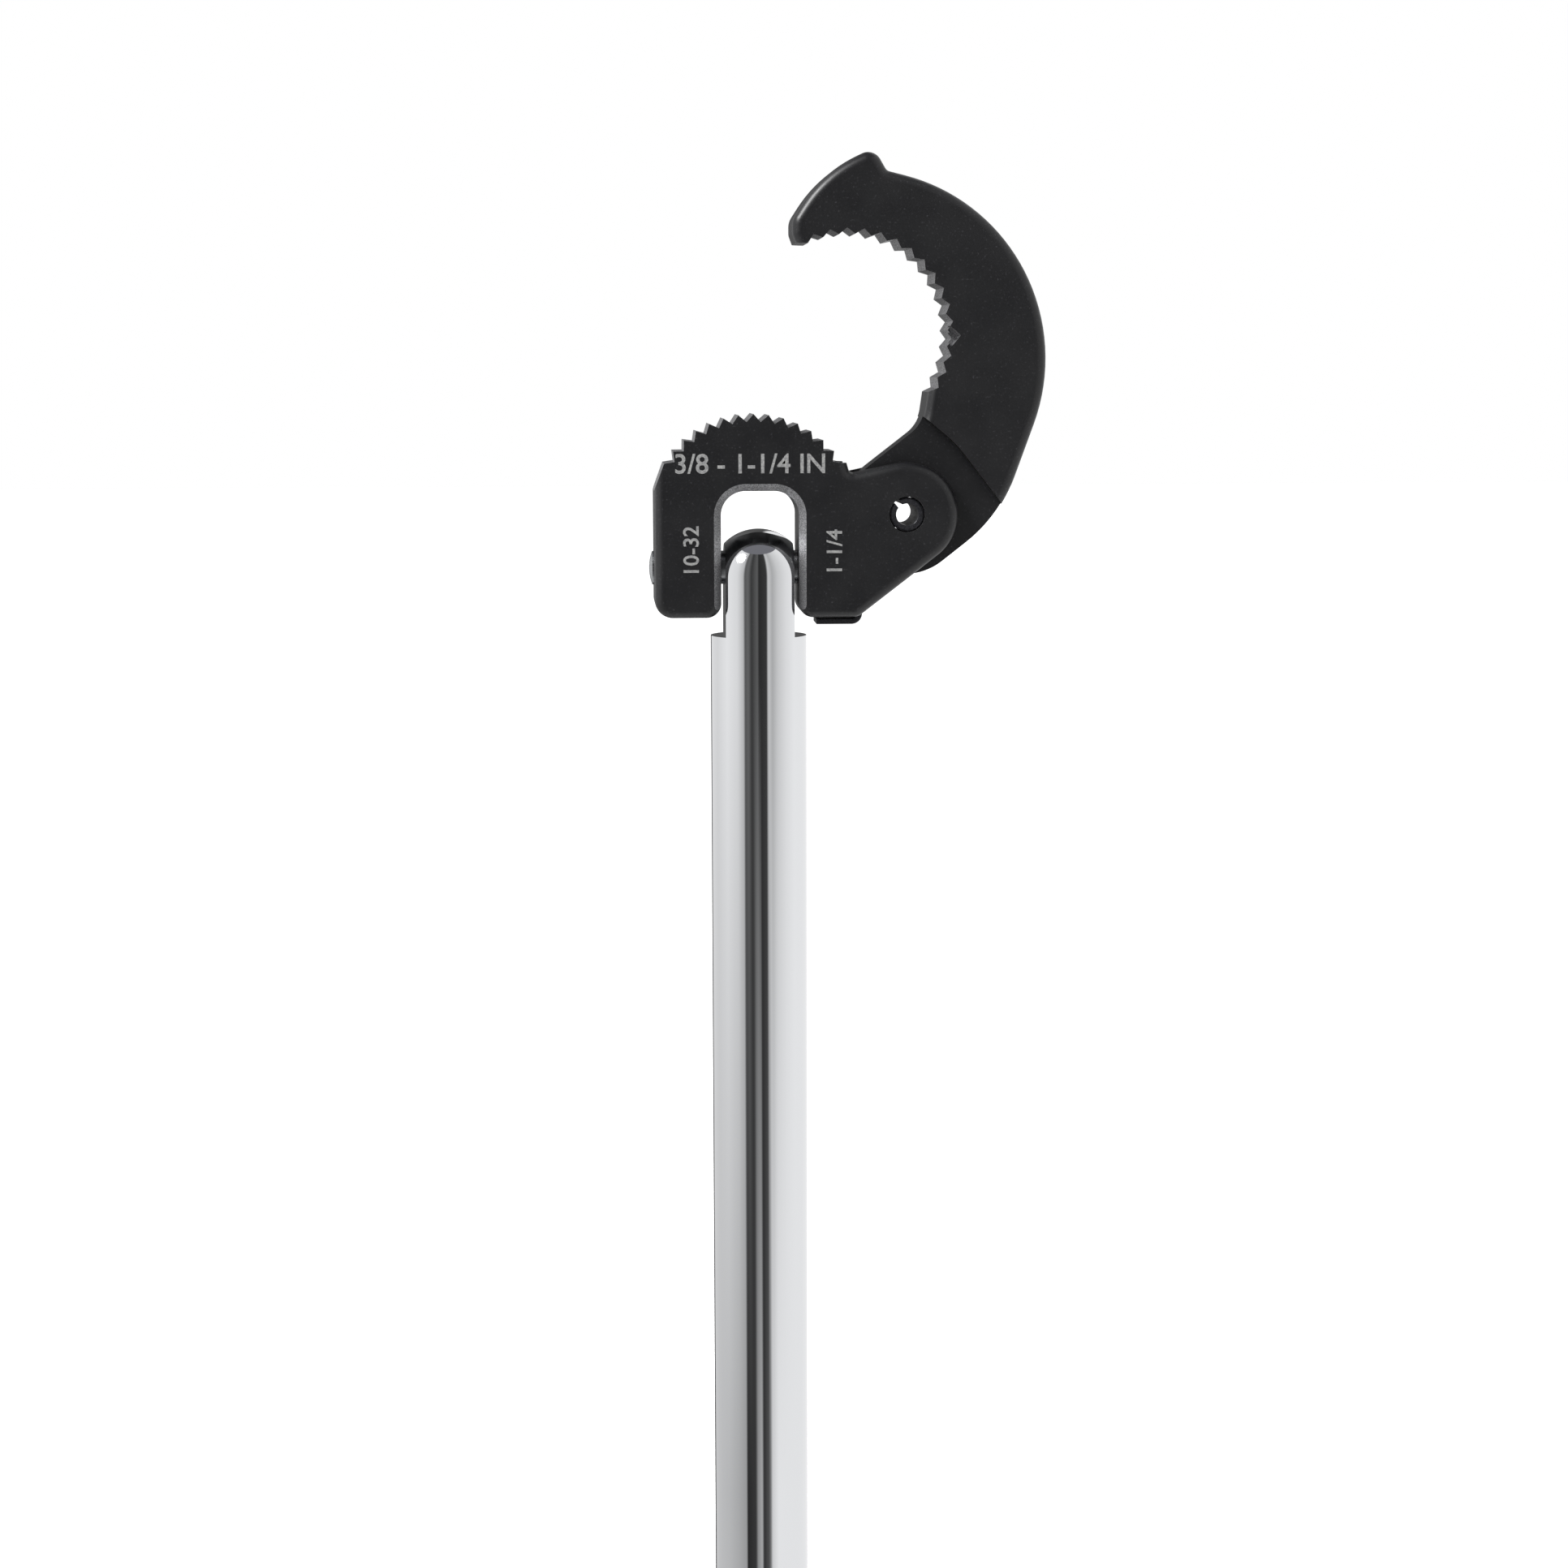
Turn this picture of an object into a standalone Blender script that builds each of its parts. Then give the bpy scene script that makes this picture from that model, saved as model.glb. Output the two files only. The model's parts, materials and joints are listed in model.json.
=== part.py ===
"""Telescoping basin wrench, modelled the way the tool goes together on the bench.

A forged head with a spring-held hook jaw swivels on the forked end of a chromed shaft. The shaft
slides over a square bar, is held in one-inch steps by a ball catch, and is turned by a sliding
cross handle at the foot.

Frame: +Z runs up the shaft, +X points to the hook side of the head, +Y away from the marked face.
The origin is the middle of the flat foot of the handle hub. All sizes are in metres.
"""
import math

import bmesh
import bpy
from mathutils import Matrix, Vector

MM = 0.001
INCH = 25.4 * MM

# Clearances
TOUCH_GAP = 0.3 * MM          # between faces that rest on each other
PIN_GAP = 0.15 * MM           # around a pin, screw or ball, on the radius
SLIDE_GAP = 0.2 * MM          # around a bar in its guide, on each side

# Shaft and tang
SHAFT_D = 5 / 8 * INCH
TANG_WIDTH = 11.3 * MM        # across the two flats
DOME_DROP = 1.6 * MM          # centre of the rounded tip below the swivel pin
SHAFT_SOLID = 33.9 * MM       # from the end of the bore to the shoulders
SHOULDER_CLEARANCE = 1.0 * MM  # left under the legs when the head swings over

# Head forging, measured from the swivel pin
HEAD_THICK = 12.7 * MM
SLOT_SIDE_GAP = 0.7 * MM      # between tang and leg, each side
SLOT_HEADROOM = 6.35 * MM     # above the rounded tip
HEAD_BRIDGE = 12.5 * MM       # metal between slot and tooth tips
LEFT_LEG = 10.9 * MM
RIGHT_LEG = 8.85 * MM
LEG_DROP = 8.0 * MM
EAR_FOOT = 0.9 * MM           # foot of the ears, past the right leg
EDGE_ROUND = 1.6 * MM         # rolled edge of both forgings
HEAD_TOOTH_R = 17.3 * MM      # circle through the tooth tips
HEAD_TOOTH_DEPTH = 1.25 * MM
HEAD_TOOTH_PITCH = 8.2        # degrees
HEAD_TEETH = 15
SWIVEL_PIN_D = 5.5 * MM
SWIVEL_DOME = 0.5 * MM        # riveted end, proud of the leg

# Clevis and hook pivot
TONGUE_THICK = 6.4 * MM
CLEVIS_WEB = 6.2 * MM         # leg metal left beside the clevis
CAM_R = 9.9 * MM              # round tail of the hook
CAM_PROUD = 1.4 * MM          # tail showing past the ears
PIVOT_RISE = 8.8 * MM
JAW_PIN_D = 5.5 * MM
JAW_PIN_WALL = 0.95 * MM
JAW_PIN_SLIT = 0.9 * MM
JAW_PIN_RECESS = 0.15 * MM    # each end below the ear face

# Leaf spring
LEAF_THICK = 0.9 * MM
LEAF_BACK_GAP = 0.4 * MM
LEAF_FOOT_GAP = 0.4 * MM

# Hook forging, measured from its pivot
HOOK_THICK = 12.0 * MM
BITE_CENTRE = (-9.4 * MM, 29.3 * MM)
BITE_R = 15.96 * MM           # circle through the tooth tips
BITE_DEPTH = 0.97 * MM
BITE_PITCH = 9.43             # degrees
BITE_TEETH = 15
BITE_MIDDLE = 39.6            # direction of the middle tooth, degrees
BACK_CENTRE = (-7.7 * MM, 25.0 * MM)
BACK_R = 30.5 * MM
NOSE_X = -18.7 * MM
NOSE_Z = 43.85 * MM

# Square bar and its guide
BAR_ACROSS = 5 / 16 * INCH
BORE_CLEARANCE = 0.3 * MM     # around the corners of the bar
TRAVEL = 5 * INCH
CATCH_STEP = 1 * INCH
BUSH_SKIRT = 8.0 * MM
BUSH_PLATE = 2.0 * MM
GUIDE_SCREW_D = 3.0 * MM
GUIDE_SCREW_LENGTH = 9.0 * MM
GUIDE_HEAD_D = 5.5 * MM
GUIDE_HEAD_HIGH = 2.0 * MM
BORE_END_GAP = 1.5 * MM       # over the screw head

# Collar at the foot of the shaft
COLLAR_WALL = 3.1 * MM
COLLAR_THROAT = 6.0 * MM
COLLAR_SEAT = 7.5 * MM
COLLAR_STANDOFF = 0.5 * MM    # above the hub when collapsed
SCREW_SEAT_WALL = 1.2 * MM    # shaft wall left under a collar screw

# Ball catches, in the collar and in the hub
BALL_D = 2.8 * MM
CATCH_SCREW_D = 3.0 * MM
CATCH_SCREW_LENGTH = 1.45 * MM
SCREW_RECESS = 0.2 * MM       # outer end of a screw below the surface
CATCH_DIMPLE = 0.6 * MM
SPRING_WIRE_D = 0.35 * MM
SPRING_D = 2.3 * MM
SPRING_TURNS = 3

# Cross handle and hub
HANDLE_D = 3 / 8 * INCH
HANDLE_LENGTH = 152.0 * MM
HUB_WALL = 7.25 * MM          # beside the handle
HUB_FLOOR = 2.9 * MM          # under the handle
HUB_WEB = 1.3 * MM            # between handle and bar
HUB_SOCKET = 7.5 * MM
HUB_PIN_D = 3.0 * MM
CAP_WALL = 1.8 * MM
CAP_LENGTH = 10.0 * MM
CAP_END = 3.0 * MM
GROOVE_WIDE = 1.6 * MM
GROOVE_DEEP = 0.4 * MM

# Smoothness
ARC_STEP = math.radians(8)
ROUND_SIDES = 48
SMALL_SIDES = 24

# Places that follow from the sizes above
SHAFT_R = SHAFT_D / 2
SLOT_HALF = TANG_WIDTH / 2 + SLOT_SIDE_GAP
SLOT_TOP = SHAFT_R - DOME_DROP + SLOT_HEADROOM
SHOULDER_DROP = math.hypot(LEG_DROP, HEAD_THICK / 2) + SHOULDER_CLEARANCE
LEFT_X = -SLOT_HALF - LEFT_LEG
RIGHT_X = SLOT_HALF + RIGHT_LEG
CROWN = ((LEFT_X + RIGHT_X) / 2, SLOT_TOP + HEAD_BRIDGE - HEAD_TOOTH_R)
CLEVIS_HALF = TONGUE_THICK / 2 + TOUCH_GAP
CLEVIS_X = SLOT_HALF + CLEVIS_WEB
LEAF_X = CLEVIS_X + LEAF_BACK_GAP + LEAF_THICK / 2
PIVOT = (LEAF_X + LEAF_THICK / 2 + TOUCH_GAP + CAM_R, PIVOT_RISE)
EAR_R = CAM_R - CAM_PROUD

HANDLE_HOLE_R = HANDLE_D / 2 + PIN_GAP
HANDLE_Z = HUB_FLOOR + HANDLE_HOLE_R
SOCKET_FLOOR_Z = HANDLE_Z + HANDLE_HOLE_R + HUB_WEB
HUB_TOP_Z = SOCKET_FLOOR_Z + HUB_SOCKET
HUB_R = HANDLE_D / 2 + HUB_WALL
HUB_PIN_Z = SOCKET_FLOOR_Z + HUB_SOCKET / 2
BAR_FOOT_Z = SOCKET_FLOOR_Z + TOUCH_GAP
COLLAR_Z = HUB_TOP_Z + COLLAR_STANDOFF
COLLAR_R = SHAFT_R + COLLAR_WALL
CATCH_Z = COLLAR_Z + COLLAR_THROAT / 2
SEAT_Z = COLLAR_Z + COLLAR_THROAT
SHAFT_FOOT_Z = SEAT_Z + TOUCH_GAP
COLLAR_SCREW_Z = SEAT_Z + COLLAR_SEAT / 2
BUSH_Z = SEAT_Z + TRAVEL + TOUCH_GAP
BAR_TOP_Z = BUSH_Z + BUSH_SKIRT
BUSH_PLATE_Z = BAR_TOP_Z + TOUCH_GAP
GUIDE_HEAD_Z = BUSH_PLATE_Z + BUSH_PLATE + TOUCH_GAP
BORE_R = BAR_ACROSS * math.sqrt(2) / 2 + BORE_CLEARANCE
BORE_TOP_Z = GUIDE_HEAD_Z + GUIDE_HEAD_HIGH + BORE_END_GAP
SHOULDER_Z = BORE_TOP_Z + SHAFT_SOLID
SWIVEL_Z = SHOULDER_Z + SHOULDER_DROP
SCREW_SEAT_R = BORE_R + SCREW_SEAT_WALL


# ---------------------------------------------------------------- scene helpers
def new_collection(name):
    collection = bpy.data.collections.new(name)
    bpy.context.scene.collection.children.link(collection)
    return collection


def material(name, colour, roughness, metallic=1.0):
    """A plain finish for one sub-part."""
    finish = bpy.data.materials.new(name)
    finish.use_nodes = True
    shader = finish.node_tree.nodes["Principled BSDF"]
    shader.inputs["Base Color"].default_value = (*colour, 1.0)
    shader.inputs["Roughness"].default_value = roughness
    shader.inputs["Metallic"].default_value = metallic
    return finish


def axis_empty(name, location, parent=None):
    """An empty on a joint's axis, in its parent's coordinates."""
    empty = bpy.data.objects.new(name, None)
    empty.location = location
    empty.parent = parent
    PARTS.objects.link(empty)
    return empty


def add_part(name, mesh, parent, finish, location=(0, 0, 0)):
    part = bpy.data.objects.new(name, mesh)
    part.parent = parent
    part.location = location
    mesh.materials.append(finish)
    mesh.shade_smooth()
    mesh.set_sharp_from_angle(angle=math.radians(30))
    PARTS.objects.link(part)
    return part


def cut(part, name, mesh, location=(0, 0, 0)):
    """Cut the part with a mesh placed in the part's own parent coordinates."""
    cutter = bpy.data.objects.new(name, mesh)
    cutter.parent = part.parent
    cutter.location = location
    cutter.hide_render = True
    cutter.display_type = 'WIRE'
    CUTTERS.objects.link(cutter)
    boolean = part.modifiers.new(name, 'BOOLEAN')
    boolean.operation = 'DIFFERENCE'
    boolean.object = cutter


def round_edges(part, width, segments=3, angle=40):
    bevel = part.modifiers.new("rounded_edges", 'BEVEL')
    bevel.width = width
    bevel.segments = segments
    bevel.limit_method = 'ANGLE'
    bevel.angle_limit = math.radians(angle)
    bevel.use_clamp_overlap = False


# ---------------------------------------------------------------- mesh helpers
def finish_mesh(name, bm):
    mesh = bpy.data.meshes.new(name)
    bm.to_mesh(mesh)
    bm.free()
    return mesh


def box(name, low, high):
    bm = bmesh.new()
    bmesh.ops.create_cube(bm, size=1.0)
    size = Vector(high) - Vector(low)
    middle = (Vector(high) + Vector(low)) / 2
    bmesh.ops.transform(bm, verts=bm.verts, matrix=Matrix.Translation(middle) @ Matrix.Diagonal((*size, 1)))
    return finish_mesh(name, bm)


def rod(name, radius, start, end, sides=ROUND_SIDES):
    """A round rod between two points."""
    start = Vector(start)
    axis = Vector(end) - start
    bm = bmesh.new()
    bmesh.ops.create_cone(bm, cap_ends=True, segments=sides, radius1=radius, radius2=radius,
                          depth=axis.length)
    turn = axis.to_track_quat('Z', 'Y').to_matrix().to_4x4()
    bmesh.ops.transform(bm, verts=bm.verts, matrix=Matrix.Translation(start + axis / 2) @ turn)
    return finish_mesh(name, bm)


def ball(name, radius, sides=SMALL_SIDES):
    bm = bmesh.new()
    bmesh.ops.create_uvsphere(bm, u_segments=sides, v_segments=sides // 2, radius=radius)
    return finish_mesh(name, bm)


def add_turned(name, profile, parent, finish, location=(0, 0, 0), sides=ROUND_SIDES, closed=False):
    """A turned piece: (radius, height) points running down the outside, spun about Z."""
    bm = bmesh.new()
    points = [bm.verts.new((radius, 0, height)) for radius, height in profile]
    for upper, lower in zip(points, points[1:]):
        bm.edges.new((upper, lower))
    if closed:
        bm.edges.new((points[-1], points[0]))
    part = add_part(name, finish_mesh(name, bm), parent, finish, location)
    screw = part.modifiers.new("turned", 'SCREW')
    screw.steps = sides
    screw.render_steps = sides
    screw.use_merge_vertices = True
    screw.merge_threshold = 0.01 * MM
    return part


def plate(name, outline, thickness, middle=0.0):
    """A flat outline in XZ, extruded to both sides of Y = middle."""
    curve = bpy.data.curves.new(name, 'CURVE')
    curve.dimensions = '2D'
    curve.fill_mode = 'BOTH'
    curve.extrude = thickness / 2
    spline = curve.splines.new('POLY')
    spline.points.add(len(outline) - 1)
    for point, (x, z) in zip(spline.points, outline):
        point.co = (x, z, 0, 1)
    spline.use_cyclic_u = True
    flat = bpy.data.objects.new(name, curve)
    CUTTERS.objects.link(flat)
    bpy.context.view_layer.update()
    mesh = bpy.data.meshes.new_from_object(flat.evaluated_get(bpy.context.evaluated_depsgraph_get()))
    bpy.data.objects.remove(flat)
    bpy.data.curves.remove(curve)
    bm = bmesh.new()
    bm.from_mesh(mesh)
    bmesh.ops.remove_doubles(bm, verts=bm.verts, dist=0.001 * MM)
    bmesh.ops.dissolve_limit(bm, angle_limit=math.radians(1), verts=bm.verts, edges=bm.edges)
    upright = Matrix.Translation((0, middle, 0)) @ Matrix.Rotation(math.pi / 2, 4, 'X')
    bmesh.ops.transform(bm, verts=bm.verts, matrix=upright)
    bm.to_mesh(mesh)
    bm.free()
    return mesh


# ---------------------------------------------------------------- outline geometry, in XZ
def toward(degrees, distance, centre=(0, 0)):
    """The point at a distance and direction from a centre."""
    angle = math.radians(degrees)
    return (centre[0] + distance * math.cos(angle), centre[1] + distance * math.sin(angle))


def shifted(point, offset):
    return (point[0] + offset[0], point[1] + offset[1])


def fillet(before, corner, after, radius):
    """Arc points that round one corner of an outline."""
    corner = Vector(corner)
    back = (Vector(before) - corner).normalized()
    ahead = (Vector(after) - corner).normalized()
    half = back.angle(ahead) / 2
    centre = corner + (back + ahead).normalized() * radius / math.sin(half)
    start = corner + back * radius / math.tan(half) - centre
    turn = math.pi - 2 * half
    steps = max(1, math.ceil(turn / ARC_STEP))
    if back.cross(ahead) > 0:
        turn = -turn
    return [tuple(centre + Matrix.Rotation(turn * step / steps, 2) @ start) for step in range(steps + 1)]


def rounded(corners, closed=True):
    """An outline through corners (x, z, radius), each corner rounded by its radius."""
    outline = []
    last = len(corners) - 1
    for index, (x, z, radius) in enumerate(corners):
        at_end = not closed and index in (0, last)
        if radius == 0 or at_end:
            points = [(x, z)]
        else:
            points = fillet(corners[index - 1][:2], (x, z), corners[(index + 1) % (last + 1)][:2], radius)
        for point in points:
            if not outline or math.dist(point, outline[-1]) > 0.01 * MM:
                outline.append(point)
    if closed and math.dist(outline[0], outline[-1]) < 0.01 * MM:
        outline.pop()
    return outline


def arc_corners(centre, radius, first, last, count):
    """Corners of the straight-sided outline around an arc, from one direction to another in degrees."""
    span = (last - first) / count
    reach = radius / math.cos(math.radians(span / 2))
    return [(*toward(first + span * (step + 0.5), reach, centre), radius) for step in range(count)]


def tangent_direction(point, centre, radius):
    """Direction in degrees where a line from an outside point meets a circle, on its left-hand side."""
    away = Vector(point) - Vector(centre)
    return math.degrees(math.atan2(away.y, away.x) + math.acos(radius / away.length))


def tangents_meet(first, second):
    """Where two tangent lines cross, each given as (centre, radius, direction in degrees)."""
    rows = []
    for centre, radius, degrees in (first, second):
        normal = Vector(toward(degrees, 1))
        rows.append((*normal, normal.dot(Vector(centre)) + radius))
    (a, b, e), (c, d, f) = rows
    scale = a * d - b * c
    return ((e * d - b * f) / scale, (a * f - e * c) / scale)


def teeth(centre, tip_radius, root_radius, middle, pitch, count):
    """Tip and root points of V teeth along an arc, starting at the highest direction."""
    first = middle + pitch * (count - 1) / 2
    points = []
    for tooth in range(count):
        direction = first - pitch * tooth
        points.append(toward(direction + pitch / 2, root_radius, centre))
        points.append(toward(direction, tip_radius, centre))
    points.append(toward(first - pitch * (count - 0.5), root_radius, centre))
    return points


# ---------------------------------------------------------------- head
def head_outline():
    """The blank before its teeth are cut, with the fork slot open at the foot."""
    blank_r = HEAD_TOOTH_R + EDGE_ROUND
    slot_corner = 4.0 * MM
    inner_foot = 2.4 * MM
    outer_foot = 3.0 * MM
    ear_foot = 2.2 * MM
    horn_x = RIGHT_X - 1.8 * MM
    notch_x = RIGHT_X - 0.5 * MM
    ear_top = 102
    crown_start, crown_end = 45, 146
    foot_corner = (RIGHT_X + EAR_FOOT, -LEG_DROP)
    ear_start = tangent_direction(foot_corner, PIVOT, EAR_R)
    notch = tangents_meet((PIVOT, EAR_R, ear_top), ((notch_x, 0), 0, 0))
    horn = tangents_meet((CROWN, blank_r, crown_start), ((horn_x, 0), 0, 0))
    left_corner = tangents_meet((CROWN, blank_r, crown_end), ((LEFT_X, 0), 0, 180))
    return rounded([
        (LEFT_X, -LEG_DROP, outer_foot),
        (-SLOT_HALF, -LEG_DROP, inner_foot),
        (-SLOT_HALF, SLOT_TOP, slot_corner),
        (SLOT_HALF, SLOT_TOP, slot_corner),
        (SLOT_HALF, -LEG_DROP, inner_foot),
        (*foot_corner, ear_foot),
        *arc_corners(PIVOT, EAR_R, ear_start, ear_top, 3),
        (*notch, 0.8 * MM),
        (*horn, 1.7 * MM),
        *arc_corners(CROWN, blank_r, crown_start, crown_end, 3),
        (*left_corner, 2.0 * MM),
    ])


def head_tooth_cutter():
    """Everything above the toothed crown, ending in a plain shoulder on each side."""
    margin = 6 * MM
    root_r = HEAD_TOOTH_R - HEAD_TOOTH_DEPTH
    row = teeth(CROWN, HEAD_TOOTH_R, root_r, 90, HEAD_TOOTH_PITCH, HEAD_TEETH)[1:-1]
    left_z = row[0][1] - 5.2 * MM
    right_x = RIGHT_X + 1.3 * MM
    top = CROWN[1] + HEAD_TOOTH_R + margin
    outline = [
        (LEFT_X - margin, left_z),
        (LEFT_X - TOUCH_GAP, left_z),
        *row,
        (right_x, row[-1][1]),
        (right_x, top),
        (LEFT_X - margin, top),
    ]
    return plate("head_tooth_cut", outline, HEAD_THICK + 2 * MM)


def make_head(swivel):
    """Forged head: fork over the tang, toothed crown, and two ears for the hook."""
    head = add_part("head_body", plate("head_body", head_outline(), HEAD_THICK), swivel, BLACK_FORGING)
    round_edges(head, EDGE_ROUND)
    cut(head, "head_tooth_cut", head_tooth_cutter())
    reach = PIVOT[0] + 2 * EAR_R
    cut(head, "clevis_cut", box("clevis_cut", (CLEVIS_X, -CLEVIS_HALF, -reach),
                                (reach, CLEVIS_HALF, reach)))
    hole_r = JAW_PIN_D / 2 + PIN_GAP
    cut(head, "jaw_pin_hole", rod("jaw_pin_hole", hole_r, (PIVOT[0], -HEAD_THICK, PIVOT[1]),
                                  (PIVOT[0], HEAD_THICK, PIVOT[1])))
    cut(head, "swivel_pin_hole", rod("swivel_pin_hole", SWIVEL_PIN_D / 2 + PIN_GAP,
                                     (LEFT_X - 1 * MM, 0, 0), (CLEVIS_X + 1 * MM, 0, 0)))


def make_swivel_pin(swivel):
    """Solid pin through both legs and the tang, riveted over to a low dome on the left."""
    radius = SWIVEL_PIN_D / 2
    dome = LEFT_X - TOUCH_GAP
    sag = SWIVEL_DOME
    sphere_r = (radius ** 2 + sag ** 2) / (2 * sag)
    reach = math.asin(radius / sphere_r)
    rows = 4
    cap = []
    for row in range(rows + 1):
        angle = reach * row / rows
        cap.append((sphere_r * math.sin(angle), sag - sphere_r * (1 - math.cos(angle))))
    length = CLEVIS_X - TOUCH_GAP - dome
    profile = [*cap, (radius, -length), (0, -length)]
    pin = add_turned("swivel_pin", profile, swivel, BRIGHT_PIN, (dome, 0, 0), SMALL_SIDES)
    pin.rotation_euler = (0, -math.pi / 2, 0)


def make_jaw_pin(swivel):
    """Slotted spring pin: a rolled tube with an open slit along it."""
    radius = JAW_PIN_D / 2
    half = HEAD_THICK / 2 - JAW_PIN_RECESS
    chamfer = 0.3 * MM
    bore = radius - JAW_PIN_WALL
    profile = [
        (radius - chamfer, half),
        (radius, half - chamfer),
        (radius, chamfer - half),
        (radius - chamfer, -half),
        (bore, -half),
        (bore, half),
    ]
    pin = add_turned("jaw_pin", profile, swivel, BLACK_SPRING_STEEL, (PIVOT[0], 0, PIVOT[1]), closed=True)
    pin.rotation_euler = (math.pi / 2, 0, 0)
    slit = box("jaw_pin_slit", (0, -JAW_PIN_D, -JAW_PIN_SLIT / 2), (JAW_PIN_D, JAW_PIN_D, JAW_PIN_SLIT / 2))
    slit.transform(Matrix.Rotation(math.radians(-128), 4, 'Y'))
    cut(pin, "jaw_pin_slit", slit, (PIVOT[0], 0, PIVOT[1]))


def make_leaf_spring(swivel):
    """Flat spring hooked under the right leg, rising in the clevis to press on the hook's tail."""
    foot_z = -LEG_DROP - LEAF_FOOT_GAP - LEAF_THICK / 2
    corners = [
        (SLOT_HALF + 3.0 * MM, foot_z, 0),
        (RIGHT_X + 1.6 * MM, foot_z, 1.3 * MM),
        (LEAF_X, PIVOT[1] - 1.2 * MM, 6.0 * MM),
        (LEAF_X, PIVOT[1] + 2.2 * MM, 0),
    ]
    path = rounded(corners, closed=False)
    half = TONGUE_THICK / 2
    bm = bmesh.new()
    points = [bm.verts.new((x, -half, z)) for x, z in path]
    edges = [bm.edges.new(pair) for pair in zip(points, points[1:])]
    swept = bmesh.ops.extrude_edge_only(bm, edges=edges)["geom"]
    moved = [item for item in swept if isinstance(item, bmesh.types.BMVert)]
    bmesh.ops.translate(bm, verts=moved, vec=(0, TONGUE_THICK, 0))
    leaf = add_part("leaf_spring", finish_mesh("leaf_spring", bm), swivel, BLUED_SPRING_STEEL)
    wall = leaf.modifiers.new("strip_thickness", 'SOLIDIFY')
    wall.thickness = LEAF_THICK
    wall.offset = 0
    wall.use_even_offset = True


# ---------------------------------------------------------------- hook
def hook_outline():
    """The blank before its teeth are cut, measured from the pivot."""
    blank_r = BITE_R - 1.5 * EDGE_ROUND
    bite_start, bite_end = 115, -26
    tail_end = 308
    back_start, back_end = -20, 76
    throat_top = (3.8 * MM, 22.0 * MM)
    heel = (2.73 * MM, 14.6 * MM)
    knob = (-5.4 * MM, 58.95 * MM)
    brow = (-13.8 * MM, 55.05 * MM)
    cheek = (NOSE_X, 47.5 * MM)
    notch_x = -3.3 * MM
    tail_start = tangent_direction(heel, (0, 0), CAM_R)
    flank = tangents_meet(((0, 0), CAM_R, tail_end), (BACK_CENTRE, BACK_R, back_start))
    notch = tangents_meet((BACK_CENTRE, BACK_R, back_end), ((notch_x, 0), 0, 0))
    nose_foot = tangents_meet((BITE_CENTRE, blank_r, bite_start), ((NOSE_X, 0), 0, 0))
    return rounded([
        (*heel, 6.0 * MM),
        *arc_corners((0, 0), CAM_R, tail_start, tail_end, 3),
        (*flank, 24.0 * MM),
        *arc_corners(BACK_CENTRE, BACK_R, back_start, back_end, 2),
        (*notch, 1.2 * MM),
        (*knob, 2.3 * MM),
        (*brow, 22.0 * MM),
        (*cheek, 3.5 * MM),
        (*nose_foot, 2.5 * MM),
        *arc_corners(BITE_CENTRE, blank_r, bite_start, bite_end, 3),
        (*throat_top, 2.0 * MM),
    ])


def hook_tooth_cutter():
    """The toothed bite, the squared-off end of the nose and the step down to the throat."""
    row = teeth(BITE_CENTRE, BITE_R, BITE_R + BITE_DEPTH, BITE_MIDDLE, BITE_PITCH, BITE_TEETH)
    nose_tip = toward(BITE_MIDDLE + BITE_PITCH * (BITE_TEETH + 1) / 2, BITE_R, BITE_CENTRE)
    throat_step = shifted(row[-1], (-2.8 * MM, -1.2 * MM))
    outside_x = NOSE_X - 3 * MM
    outline = [BITE_CENTRE, (outside_x, NOSE_Z - 7 * MM), (outside_x, NOSE_Z), nose_tip, *row, throat_step]
    return plate("bite_cut", outline, HOOK_THICK + 2 * MM)


def tongue_cutter(name, side):
    """Thins one side of the tail; the shoulder it leaves is a shallow arc around the ears."""
    far = 3 * CAM_R
    corners = [
        (-far, -far, 0),
        (far, -far, 0),
        (far, -16.5 * MM, 0),
        (8.1 * MM, 11.45 * MM, 20.0 * MM),
        (-25.7 * MM, 39.4 * MM, 0),
        (-far, 30.0 * MM, 0),
    ]
    depth = HOOK_THICK - TONGUE_THICK / 2
    return plate(name, rounded(corners), depth, side * (TONGUE_THICK + depth) / 2)


def make_hook(pivot):
    """Forged hook jaw with its thinned tongue, toothed bite and round tail."""
    hook = add_part("hook_jaw", plate("hook_jaw", hook_outline(), HOOK_THICK), pivot, BLACK_FORGING)
    round_edges(hook, EDGE_ROUND)
    cut(hook, "bite_cut", hook_tooth_cutter())
    for name, side in (("tongue_cut_front", -1), ("tongue_cut_back", 1)):
        cut(hook, name, tongue_cutter(name, side))
    cut(hook, "hook_pin_hole", rod("hook_pin_hole", JAW_PIN_D / 2 + PIN_GAP, (0, -HOOK_THICK, 0),
                                   (0, HOOK_THICK, 0)))
    stray = toward(-1.0, BITE_R + 2.2 * BITE_DEPTH, BITE_CENTRE)
    gouge = [stray, shifted(stray, (-1.9 * MM, 1.7 * MM)), shifted(stray, (-1.7 * MM, -2.1 * MM))]
    cut(hook, "stray_cutter_mark", plate("stray_cutter_mark", gouge, 6 * MM, -HOOK_THICK / 2))


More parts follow.
